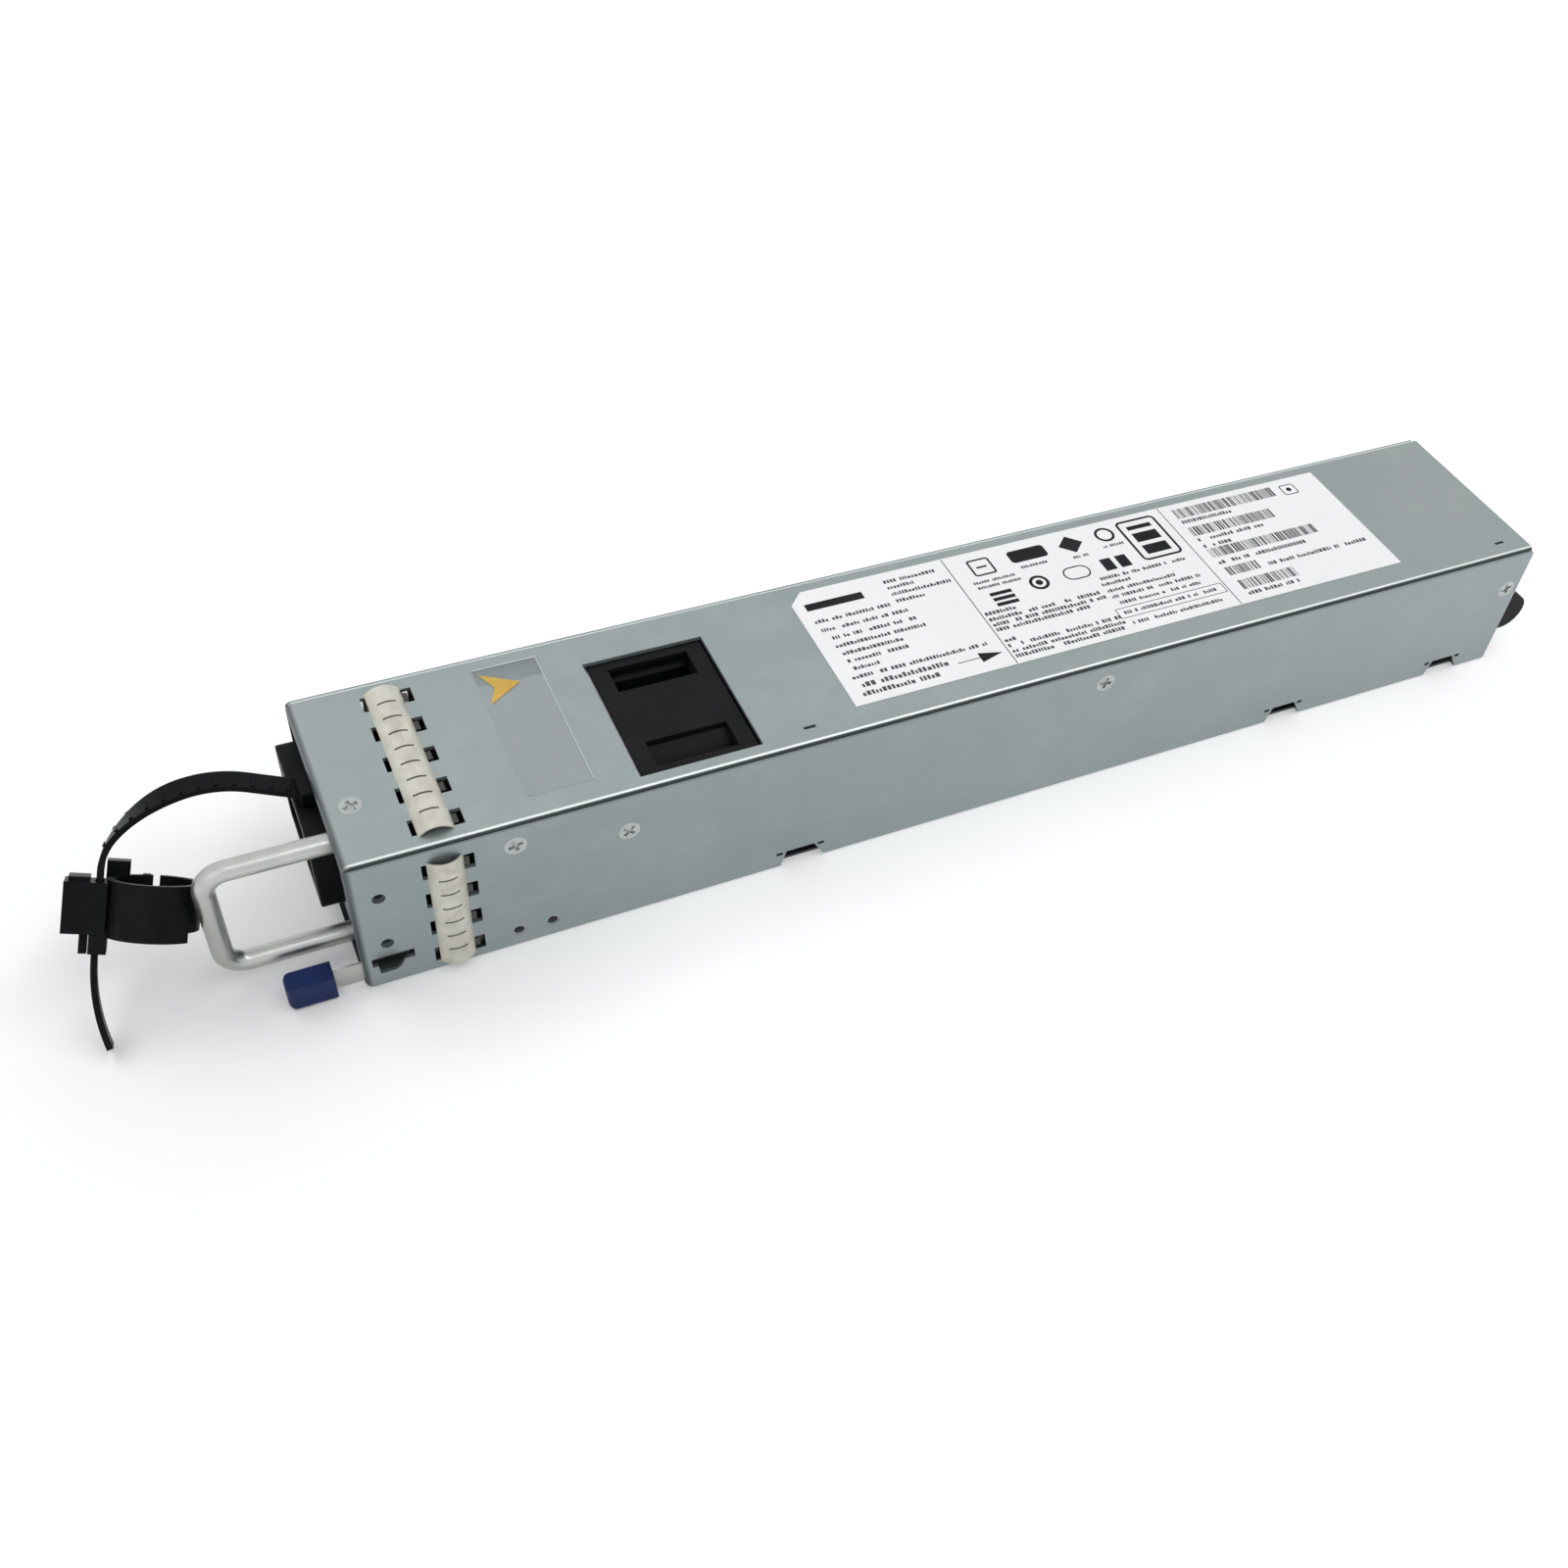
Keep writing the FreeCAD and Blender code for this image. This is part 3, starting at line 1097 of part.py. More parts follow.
def fan_bracket():
    """Thin steel plate in front of the fan with its guard bars, folded forward at the sides."""
    side = "case_width/2 - 2*wall - 3*slip"
    front = "fan_x - bracket_sheet - 0.05"
    back = "fan_x - 0.05"
    middle = "case_height/2"
    high = "case_height - 2*wall"
    plates = [
        block((front, f"-({side})", "wall + slip"), (back, side, high)),
        block((f"{back} - bracket_return", f"-({side})", f"{middle} - 2"),
              (back, f"-({side}) + bracket_sheet", "case_height - 6")),
        block((f"{back} - bracket_return", f"{side} - bracket_sheet", f"{middle} - 2"),
              (back, side, "case_height - 6")),
    ]
    tools = [rod("x", (f"{front} - 1", "fan_y", middle), "3", "fan_bore - 0.6"),
             block((f"{front} - 1", "lead_y - 2.4", "wall"), (f"{back} + 1", "lead_y + lead_pitch + 0.6", "lead_z + 5"))]
    for start in (f"-({side}) - 0.5", f"{side} - bracket_sheet - 0.5"):
        tools.append(rod("y", ("screw_2_x", start, "screw_2_z"), "bracket_sheet + 1",
                         "screw_radius + thread_gap"))
    plate = cut(join(plates), tools)
    bars = [
        block((front, "fan_y - fan_bore", f"{middle} - 0.7"),
              (back, "fan_y + fan_bore", f"{middle} + 0.7")),
        block((front, "fan_y - 0.7", f"{middle} - fan_bore"),
              (back, "fan_y + 0.7", f"{middle} + fan_bore")),
        cut(rod("x", (front, "fan_y", middle), "bracket_sheet", "fan_bore*0.66"),
            [rod("x", (f"{front} - 1", "fan_y", middle), "3", "fan_bore*0.60")]),
        rod("x", (front, "fan_y", middle), "bracket_sheet", "fan_bore*0.3"),
    ]
    node("fan_bracket", join([plate] + bars))


# Inside


def boards():
    """Input filter board and main board on their pillars, over an insulating sheet."""
    half = "board_width/2"
    places = [(x, y) for x in ("board_start + 6", "(board_start + board_end)/2",
                               "board_end - 18*board_step") for y in (f"-{half} + 4", f"{half} - 4")]
    filter_places = [("filter_start + 4", "filter_y - filter_width/2 + 4"),
                     ("filter_end - 4", "filter_y + filter_width/2 - 4")]
    holes = [rod("z", (x, y, "board_z - 1"), "board_sheet + 2", "screw_radius + thread_gap")
             for x, y in places]
    main = block(("board_start", f"-{half}", "board_z"), ("board_end", half, BOARD_TOP))
    node("main_board", cut(main, holes))
    holes = [rod("z", (x, y, "board_z - 1"), "board_sheet + 2", "screw_radius + thread_gap")
             for x, y in filter_places]
    plate = block(("filter_start", "filter_y - filter_width/2", "board_z"),
                  ("filter_end", "filter_y + filter_width/2", BOARD_TOP))
    node("filter_board", cut(plate, holes))
    pillars = [rod("z", (x, y, "wall"), "board_z - wall", "pillar_radius")
               for x, y in places + filter_places]
    bores = [rod("z", (x, y, "wall + 0.5"), "board_z", "screw_radius + thread_gap")
             for x, y in places + filter_places]
    node("board_pillars", group([cut(p, [b]) for p, b in zip(pillars, bores)]))
    screws_in = []
    for x, y in places + filter_places:
        shank = rod("z", (x, y, "wall + 1"), f"{BOARD_TOP} - wall - 1", "screw_radius")
        head = rod("z", (x, y, BOARD_TOP), "1.6", "screw_head_radius - 0.2")
        screws_in.append(join([shank, head]))
    node("board_screws", group(screws_in))
    sheet = block(("board_start + 1", f"-{half} + 0.5", "wall"),
                  ("board_end - 2", f"{half} - 0.5", "wall + sheet_insulation"))
    clear = [rod("z", (x, y, "0"), "4", "pillar_radius + 0.4") for x, y in places]
    node("insulating_sheet", cut(sheet, clear))


def filter_parts():
    """What the filter board carries: choke, film capacitor and fuse."""
    choke = doc.addObject("Part::Torus", "Choke")
    choke.setExpression("Radius1", ex("choke_ring"))
    choke.setExpression("Radius2", ex("choke_coil"))
    place(choke, ("filter_start + 21", "filter_y + 2.2*side_step", f"{BOARD_TOP} + choke_coil"))
    node("filter_choke", choke)
    side = "filter_y - filter_width/2"
    box = block(("filter_start + 9", f"{side} + 1.5", BOARD_TOP),
                ("filter_start + 31", f"{side} + 1.5 + film_depth", f"{BOARD_TOP} + film_rise"))
    box = smooth(box, 0.8, lambda edge, at: near(edge.BoundBox.ZLength, edge.Length))
    node("film_capacitor", box)
    y = "filter_y + filter_width/2 - 3.4"
    z = f"{BOARD_TOP} + fuse_radius"
    fuse = rod("x", ("filter_start + 2", y, z), "20", "fuse_radius - 0.6")
    caps = [rod("x", (x, y, z), "5", "fuse_radius")
            for x in ("filter_start + 1", "filter_start + 18")]
    node("input_fuse", join([fuse] + caps))


def line_leads():
    """Two insulated leads past the fan, from the filter board to the main board."""
    start = size("filter_end") - 10
    end = size("board_start") + 12
    bend = size("lead_bend")
    low = size("board_z") + size("board_sheet")
    high = size("lead_z")
    front = -size("case_length") / 2
    leads = []
    for k in (0, 1):
        y = size("lead_y") + k * size("lead_pitch") - 0.9
        a = V(front + start, y, low)
        b = V(front + end, y, low)
        up = V(0, 0, 1)
        ahead = V(1, 0, 0)
        edges = [
            Part.makeLine(a, V(a.x, y, high - bend)),
            quarter(V(a.x + bend, y, high - bend), -ahead, up, bend),
            Part.makeLine(V(a.x + bend, y, high), V(b.x - bend, y, high)),
            quarter(V(b.x - bend, y, high - bend), up, ahead, bend),
            Part.makeLine(V(b.x, y, high - bend), b),
        ]
        path = Part.Wire(edges)
        ring = Part.Wire([Part.makeCircle(size("lead_radius"), a, up)])
        leads.append(path.makePipeShell([ring], True, False))
    node("line_leads", shaped(Part.makeCompound(leads)))


def quarter(centre, first, last, radius):
    """A quarter circle from one unit direction to another."""
    middle = first + last
    middle.normalize()
    return Part.Arc(centre + first * radius, centre + middle * radius,
                    centre + last * radius).toShape()


def fin_profile(start, fins, pitch, low, high, foot, fin):
    """Outline of a heat sink with upright fins, across the case, as formulas."""
    points = [(start, low)]
    width = f"{fins - 1}*{pitch} + {fin}"
    points.append((f"{start} + {width}", low))
    for k in reversed(range(fins)):
        left = f"{start} + {k}*{pitch}"
        points.append((f"{left} + {fin}", high))
        points.append((left, high))
        if k:
            points.append((left, f"{low} + {foot}"))
            points.append((f"{left} - {pitch} + {fin}", f"{low} + {foot}"))
    return points


def along(steps):
    """A place along the main board, in layout steps."""
    return f"board_start + {steps}*board_step"


def up(steps):
    """A height over the boards, in layout steps."""
    return f"{BOARD_TOP} + {steps}*rise_step"


def across(steps):
    """A place across the boards, in layout steps."""
    return f"{steps}*side_step"


def board_box(x, y, z):
    """A box over the main board, each side from one layout step to another."""
    return block((along(x[0]), across(y[0]), up(z[0])), (along(x[1]), across(y[1]), up(z[1])))


def heatsink(name, start, end, fins, feet, foot_reach):
    """Upright fins along the board on a foot plate, held by two solder feet."""
    sink = prism("YZ_Plane", fin_profile(across(-22.2), fins, "2.6*side_step", up(2.4), up(29),
                                         "3*rise_step", "1*side_step"), along(start), along(end))
    stands = [board_box((x, x + 3), (-21, foot_reach), (0, 2.6)) for x in feet]
    node(name, join([sink] + stands))


def power_parts():
    """What the main board carries, from the bulk capacitor to the output capacitors."""
    middle = (across(-7.5), f"{BOARD_TOP} + can_radius + can_gap")
    can = rod("x", (along(6), *middle), "48*board_step", "can_radius")
    groove = cut(rod("x", (along(50), *middle), "1.4*board_step", "can_radius + 1"),
                 [rod("x", (along(49), *middle), "3*board_step", "can_radius - 0.6")])
    node("bulk_capacitor", cut(can, [groove]))
    choke = doc.addObject("Part::Torus", "Choke")
    choke.setExpression("Radius1", ex("boost_ring"))
    choke.setExpression("Radius2", ex("boost_coil"))
    stand = f"{BOARD_TOP} + boost_ring + boost_coil + 0.1"
    place(choke, (along(34), across(16.5), stand), FreeCAD.Rotation(V(1, 0, 0), 90))
    node("boost_choke", choke)
    heatsink("primary_heatsink", 62, 104, 6, (66, 96), -12)
    chips = [board_box((x, x + 13), (-8.2, -3.6), (2.5, 22)) for x in (64, 79)]
    node("power_transistors", group(chips))
    core = board_box((66, 102), (-2.8, 22.2), (0, 28))
    windows = [board_box((60, 110), (y, y + 6), (5, 23)) for y in (1.2, 12.2)]
    node("transformer_core", cut(core, windows))
    winding = board_box((63, 105), (1.5, 17.9), (5.3, 22.7))
    leg = board_box((65.7, 102.3), (6.9, 12.5), (5, 23))
    node("transformer_winding", cut(winding, [leg]))
    heatsink("secondary_heatsink", 118, 156, 9, (121, 149), -5)
    coil = board_box((120, 148), (3, 23), (0, 20))
    coil = smooth(coil, 2.0, lambda edge, at: near(edge.BoundBox.ZLength, edge.Length))
    node("output_choke", coil)
    cans = []
    for x in (164, 174):
        for y in (-15, -5, 5, 15):
            cans.append(rod("z", (along(x), across(y), BOARD_TOP), "20*rise_step",
                            "4*min(board_step; side_step)"))
    node("output_capacitors", group(cans))
    bars = []
    for y in (-16.5, 2.5):
        low = (along(180), across(y), BOARD_TOP)
        bars.append(block(low, ("plug_start - 0.3", across(y + 14), up(7))))
    node("output_busbars", group(bars))


# Rear

def output_connector():
    """Blind-mate connector with its two rounded guide lugs, blades and signal pins."""
    low = BOARD_TOP
    high = f"{BOARD_TOP} + plug_height"
    end = "case_length + plug_proud"
    housing = block(("plug_start", "-plug_width/2", low), (end, "plug_width/2", high))
    lugs = []
    for sign in ("-", ""):
        inner = "plug_width/2 - lug_width"
        y = "-plug_width/2" if sign else inner
        reach = "lug_reach - lug_height/2"
        lugs.append(block((f"{end} - 1", y, "lug_low"),
                          (f"{end} + {reach}", f"{y} + lug_width", "lug_low + lug_height")))
        lugs.append(rod("y", (f"{end} + {reach}", y, "lug_low + lug_height/2"), "lug_width",
                        "lug_height/2"))
    tools = []
    for k in range(4):
        for side in ("-", "+"):
            y = f"{side}(4.2 + {k}*power_pitch) - blade_slot/2"
            tools.append(block((f"{end} - 14", y, f"{low} + 3.2"),
                               (f"{end} + 1", f"{y} + blade_slot", f"{high} - 3.2")))
    tools.append(block((f"{end} - 8", "-2.2", f"{low} + 3.2"),
                       (f"{end} + 1", "2.2", f"{high} - 3.2")))
    node("output_connector", cut(join([housing] + lugs), tools))
    blades = []
    for k in range(4):
        for side in ("-", "+"):
            y = f"{side}(4.2 + {k}*power_pitch)"
            blades.append(block((f"{end} - 14", f"{y} - 0.5", f"{low} + 3.8"),
                                (f"{end} - 2.5", f"{y} + 0.5", f"{high} - 3.8")))
    node("power_blades", group(blades))
    pins = [block((f"{end} - 8", f"{y} - 0.3", f"{low} + {z}"),
                  (f"{end} - 2", f"{y} + 0.3", f"{low} + {z} + 0.6"))
            for y in ("-1.1", "1.1") for z in (4.2, 6.4, 8.6, 10.8)]
    node("signal_pins", group(pins))


def check():
    """Stop on any failed object or bad shape."""
    doc.recompute()
    failed = [item.Label for item in doc.Objects
              if "Invalid" in item.State or "Error" in item.State]
    bad = [item.Label for item in NODES if item.Shape.isNull() or not item.Shape.isValid()]
    if failed or bad:
        raise RuntimeError(f"failed: {failed}; bad shapes: {bad}")


def main():
    """Build every sub-part, check it and write it out."""
    base_tray()
    top_cover()
    front_panel()
    rear_panel()
    screws()
    shielding_strips()
    labels()
    inlet()
    pull_handle()
    side_latch()
    status_lenses()
    retention_strap()
    cord_clamp()
    fan()
    fan_bracket()
    boards()
    filter_parts()
    line_leads()
    power_parts()
    output_connector()
    check()
    os.makedirs("parts", exist_ok=True)
    for item in NODES:
        item.Shape.exportStep(f"parts/{item.Label}.step")
        print(item.Label, len(item.Shape.Solids), round(item.Shape.Volume, 1))


main()
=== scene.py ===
import json
import math
import random

import bmesh
import bpy
from mathutils import Matrix, Vector

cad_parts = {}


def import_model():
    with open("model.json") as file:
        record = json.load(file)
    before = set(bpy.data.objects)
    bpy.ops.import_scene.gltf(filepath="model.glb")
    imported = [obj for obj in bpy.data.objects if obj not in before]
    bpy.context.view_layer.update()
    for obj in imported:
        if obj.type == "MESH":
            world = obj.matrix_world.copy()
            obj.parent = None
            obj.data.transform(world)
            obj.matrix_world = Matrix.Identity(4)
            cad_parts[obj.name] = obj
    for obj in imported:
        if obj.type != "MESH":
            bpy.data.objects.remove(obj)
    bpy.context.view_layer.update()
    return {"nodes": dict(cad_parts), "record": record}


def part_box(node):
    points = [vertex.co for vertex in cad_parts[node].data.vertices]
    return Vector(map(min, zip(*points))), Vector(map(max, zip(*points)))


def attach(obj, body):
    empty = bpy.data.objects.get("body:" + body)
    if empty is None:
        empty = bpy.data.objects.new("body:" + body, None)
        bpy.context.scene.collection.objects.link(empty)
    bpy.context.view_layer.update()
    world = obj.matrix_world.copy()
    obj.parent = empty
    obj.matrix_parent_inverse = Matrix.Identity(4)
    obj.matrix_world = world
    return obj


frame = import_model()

# A hot-swap power supply module on a pale bench. Metres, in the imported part's own frame: +X from
# the front face to the rear, +Z up, origin at the centre of the case's underside. Places that
# are measured from the front face are turned into the frame by at().

MM = 0.001
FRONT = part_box("base_tray")[0][0]
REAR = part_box("base_tray")[1][0]
WALL_FACE = -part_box("base_tray")[0][1]
COVER_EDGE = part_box("top_cover")[1][1]
COVER_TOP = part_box("top_cover")[1][2]

# Bends, folds and notches of the sheet metal, and how far under its faces the painted shade
# or the latch tooth's darker tone starts

COVER_BEND = 1.0 * MM
FRONT_FOLD = 1.9 * MM
NOTCH_TOP = 5.8 * MM
NOTCH_SKIN = 0.3 * MM
HOOK_SKIN = 0.05 * MM
TOOTH_SKIN = 0.9 * MM

# Painted shade: the zinc's darker tones on the upright sides and on the front panel, as shares of
# the cover's

SIDE_SHADE = (0.86, 0.88, 0.91)
FRONT_SHADE = (0.60, 0.63, 0.64)

# A noise's scales where it is drawn out along the part, and how much finer a surface's relief is
# than its clouds

DRAWN = (0.15, 1, 1)
FINER = 22


def at(x, y, z):
    """A place in millimetres, x from the front face, as a point in the frame."""
    return Vector((FRONT + x * MM, y * MM, z * MM))


# Shader nodes

def nodes_of(name):
    """A new material with its tree and its Principled shader."""
    material = bpy.data.materials.new(name)
    material.use_nodes = True
    tree = material.node_tree
    shader = tree.nodes["Principled BSDF"]
    return material, tree, shader


def noise(tree, scale, detail=4.0, roughness=0.55, stretch=(1, 1, 1)):
    """Noise over the part's own coordinates, in features per metre."""
    place = tree.nodes.new("ShaderNodeTexCoord")
    mapping = tree.nodes.new("ShaderNodeMapping")
    mapping.inputs["Scale"].default_value = stretch
    texture = tree.nodes.new("ShaderNodeTexNoise")
    texture.inputs["Scale"].default_value = scale
    texture.inputs["Detail"].default_value = detail
    texture.inputs["Roughness"].default_value = roughness
    tree.links.new(place.outputs["Object"], mapping.inputs["Vector"])
    tree.links.new(mapping.outputs["Vector"], texture.inputs["Vector"])
    return texture.outputs["Fac"]


def ramp(tree, value, stops):
    """A colour from a value, by (position, colour) stops."""
    node = tree.nodes.new("ShaderNodeValToRGB")
    elements = node.color_ramp.elements
    while len(elements) < len(stops):
        elements.new(0.5)
    for element, (position, colour) in zip(elements, stops):
        element.position = position
        element.color = (*colour, 1)
    tree.links.new(value, node.inputs["Fac"])
    return node.outputs["Color"]


def clouded(tree, cloud, dark, light, start=0.30):
    """A colour that drifts between two tones with a noise."""
    return ramp(tree, cloud, [(start, dark), (1 - start, light)])


def mask(tree, value, stops):
    """An amount from a value, by (position, amount) stops."""
    return ramp(tree, value, [(position, (amount, amount, amount))
                              for position, amount in stops])


def spread(tree, value, low, high):
    """A value from 0 to 1 spread between two numbers."""
    node = tree.nodes.new("ShaderNodeMapRange")
    node.inputs["To Min"].default_value = low
    node.inputs["To Max"].default_value = high
    tree.links.new(value, node.inputs["Value"])
    return node.outputs["Result"]


def math_node(tree, operation, first, second):
    """One operation on two values, each a socket or a number."""
    node = tree.nodes.new("ShaderNodeMath")
    node.operation = operation
    for socket, value in zip(node.inputs, (first, second)):
        if isinstance(value, (int, float)):
            socket.default_value = value
        else:
            tree.links.new(value, socket)
    return node.outputs[0]


def mix_colour(tree, amount, first, second):
    """The first colour where the amount is 0 and the second where it is 1."""
    node = tree.nodes.new("ShaderNodeMix")
    node.data_type = "RGBA"
    factor, colour_a, colour_b, result = 0, 6, 7, 2
    tree.links.new(amount, node.inputs[factor])
    tree.links.new(first, node.inputs[colour_a])
    tree.links.new(second, node.inputs[colour_b])
    return node.outputs[result]


def plain_colour(tree, colour):
    """A colour as a socket, to be mixed with others."""
    output = tree.nodes.new("ShaderNodeRGB").outputs[0]
    output.default_value = (*colour, 1)
    return output


def places(tree):
    """The part's own coordinates: x from the front face, y to either side, and z."""
    coordinates = tree.nodes.new("ShaderNodeTexCoord")
    split = tree.nodes.new("ShaderNodeSeparateXYZ")
    tree.links.new(coordinates.outputs["Object"], split.inputs["Vector"])
    return (math_node(tree, "SUBTRACT", split.outputs["X"], FRONT),
            math_node(tree, "ABSOLUTE", split.outputs["Y"], 0), split.outputs["Z"])


def bump(tree, shader, height, strength, depth):
    """Fine relief on the shader."""
    node = tree.nodes.new("ShaderNodeBump")
    node.inputs["Strength"].default_value = strength
    node.inputs["Distance"].default_value = depth
    tree.links.new(height, node.inputs["Height"])
    tree.links.new(node.outputs["Normal"], shader.inputs["Normal"])


def soft_edges(tree, shader, radius):
    """Edges that catch the light as moulded or tumbled ones do, under any relief."""
    node = tree.nodes.new("ShaderNodeBevel")
    node.samples = 4
    node.inputs["Radius"].default_value = radius
    target = shader.inputs["Normal"]
    if target.is_linked:
        target = target.links[0].from_node.inputs["Normal"]
    tree.links.new(node.outputs["Normal"], target)


# Sheet metal

def toned(colour, tone):
    """A colour with each part scaled."""
    return tuple(part * scale for part, scale in zip(colour, tone))


def front_painted_shade(tree, colour):
    """Painted shade: darken the folded edges round the front face."""
    ahead, _, _ = places(tree)
    fold_shade = mask(tree, math_node(tree, "DIVIDE", ahead, FRONT_FOLD), [(0.35, 0.85), (0.85, 0)])
    return mix_colour(tree, fold_shade, colour, plain_colour(tree, (0.075, 0.088, 0.084)))


def notch_painted_shade(tree, colour):
    """Painted shade: darken the notches along the tray's lower edges, inside the faces of its
    walls.
    """
    _, aside, height = places(tree)
    inside = math_node(tree, "LESS_THAN", aside, WALL_FACE - NOTCH_SKIN)
    low = math_node(tree, "LESS_THAN", height, NOTCH_TOP)
    lifted = math_node(tree, "GREATER_THAN", height, NOTCH_SKIN)
    notch_shade = math_node(tree, "MULTIPLY", inside, math_node(tree, "MULTIPLY", low, lifted))
    return mix_colour(tree, notch_shade, colour, plain_colour(tree, (0.035, 0.040, 0.040)))


def bend_painted_highlight_and_shade(tree, colour):
    """Paint a highlight on the cover's long bends, and shade where they dip into the wall's gap.
    """
    _, aside, _ = places(tree)
    start = math_node(tree, "SUBTRACT", aside, COVER_EDGE - COVER_BEND)
    round_bend = math_node(tree, "DIVIDE", start, COVER_BEND)
    bright = mask(tree, round_bend, [(0.0, 0), (0.22, 0.75), (0.50, 0.75), (0.66, 0)])
    gap = mask(tree, round_bend, [(0.60, 0), (0.80, 0.92)])
    painted_highlight = mix_colour(tree, bright, colour, plain_colour(tree, (0.84, 0.87, 0.86)))
    return mix_colour(tree, gap, painted_highlight, plain_colour(tree, (0.03, 0.035, 0.035)))


def rear_painted_shade(tree, colour):
    """Painted shade: darken the cover little by little towards the rear."""
    ahead, _, _ = places(tree)
    rear_shade = mask(tree, math_node(tree, "DIVIDE", ahead, REAR - FRONT), [(0.15, 0), (0.90, 0.26)])
    return mix_colour(tree, rear_shade, colour, plain_colour(tree, (0.15, 0.17, 0.17)))


def zinc_material(name, tone=(1, 1, 1), marks=()):
    """Zinc-plated sheet: broad faint clouds, small blotches and a fine rolled grain."""
    material, tree, shader = nodes_of(name)
    broad = noise(tree, scale=11, detail=3.0)
    small = noise(tree, scale=95, detail=5.0, roughness=0.6)
    rolled = noise(tree, scale=900, detail=2.0, stretch=(0.06, 1, 1))
    base = clouded(tree, broad, toned((0.312, 0.360, 0.362), tone),
                   toned((0.372, 0.416, 0.408), tone))
    spots = ramp(tree, small, [(0.36, toned((0.294, 0.342, 0.350), tone)),
                               (0.66, toned((0.392, 0.434, 0.424), tone))])
    colour = mix_colour(tree, math_node(tree, "MULTIPLY", small, 0.55), base, spots)
    for mark in marks:
        colour = mark(tree, colour)
    tree.links.new(colour, shader.inputs["Base Color"])
    gloss = math_node(tree, "MULTIPLY", math_node(tree, "ADD", small, rolled), 0.5)
    tree.links.new(spread(tree, gloss, 0.34, 0.50), shader.inputs["Roughness"])
    shader.inputs["Metallic"].default_value = 0.7
    bump(tree, shader, rolled, strength=0.10, depth=0.03 * MM)
    return material


def latch_material():
    """Spring steel that is dark where its tooth stands out of the wall."""
    material, tree, shader = nodes_of("spring steel")
    cloud = noise(tree, scale=70, stretch=DRAWN)
    plain = clouded(tree, cloud, (0.42, 0.42, 0.40), (0.56, 0.56, 0.53), start=0.32)
    dark_tooth = clouded(tree, cloud, (0.030, 0.034, 0.034), (0.060, 0.066, 0.064), start=0.32)
    _, aside, _ = places(tree)
    tooth = math_node(tree, "GREATER_THAN", aside, WALL_FACE - TOOTH_SKIN)
    tree.links.new(mix_colour(tree, tooth, plain, dark_tooth), shader.inputs["Base Color"])
    tree.links.new(spread(tree, cloud, 0.3, 0.42), shader.inputs["Roughness"])
    shader.inputs["Metallic"].default_value = 0.85
    return material


def finger_material():
    """Tin-plated spring fingers, faintly stained, with painted shade on the hooks under the
    sheet's face.
    """
    material, tree, shader = nodes_of("spring fingers")
    cloud = noise(tree, scale=330, detail=5.0, stretch=(1, 0.6, 1))
    plate = clouded(tree, cloud, (0.52, 0.50, 0.43), (0.68, 0.66, 0.58))
    brown = clouded(tree, cloud, (0.30, 0.27, 0.20), (0.50, 0.47, 0.38))
    stains = mask(tree, noise(tree, scale=120, stretch=(1.6, 0.5, 1)), [(0.54, 0), (0.70, 0.55)])
    fingers = mix_colour(tree, stains, plate, brown)
    _, aside, height = places(tree)
    inside = math_node(tree, "LESS_THAN", aside, WALL_FACE - HOOK_SKIN)
    under = math_node(tree, "LESS_THAN", height, COVER_TOP - HOOK_SKIN)
    hook_shade = math_node(tree, "MULTIPLY", inside, under)
    colour = mix_colour(tree, hook_shade, fingers, plain_colour(tree, (0.055, 0.054, 0.048)))
    tree.links.new(colour, shader.inputs["Base Color"])
    tree.links.new(spread(tree, cloud, 0.30, 0.46), shader.inputs["Roughness"])
    shader.inputs["Metallic"].default_value = 0.5
    bump(tree, shader, cloud, strength=0.15, depth=0.04 * MM)
    return material


# Other finishes

def film_material():
    """Clear film with a faint tint and its own gloss."""
    material, tree, shader = nodes_of("clear film")
    cloud = noise(tree, scale=90)
    tree.links.new(clouded(tree, cloud, (0.70, 0.74, 0.79), (0.76, 0.80, 0.84)),
                   shader.inputs["Base Color"])
    tree.links.new(spread(tree, cloud, 0.20, 0.28), shader.inputs["Roughness"])
    shader.inputs["Alpha"].default_value = 0.18
    material.blend_method = "BLEND"
    return material


def surface(name, dark, light, rough, scale, metallic=0.0, relief=0.0, stretch=(1, 1, 1),
            shine=0.5, edge=0.0):
    """A material between two tones, with uneven gloss and, if asked, relief and soft edges."""
    material, tree, shader = nodes_of(name)
    cloud = noise(tree, scale, stretch=stretch)
    tree.links.new(clouded(tree, cloud, dark, light, start=0.32), shader.inputs["Base Color"])
    tree.links.new(spread(tree, cloud, *rough), shader.inputs["Roughness"])
    shader.inputs["Metallic"].default_value = metallic
    shader.inputs["Specular IOR Level"].default_value = shine
    if relief:
        grain = noise(tree, scale * FINER, detail=2.0, stretch=stretch)
        bump(tree, shader, grain, relief, depth=0.05 * MM)
    if edge:
        soft_edges(tree, shader, edge)
    return material


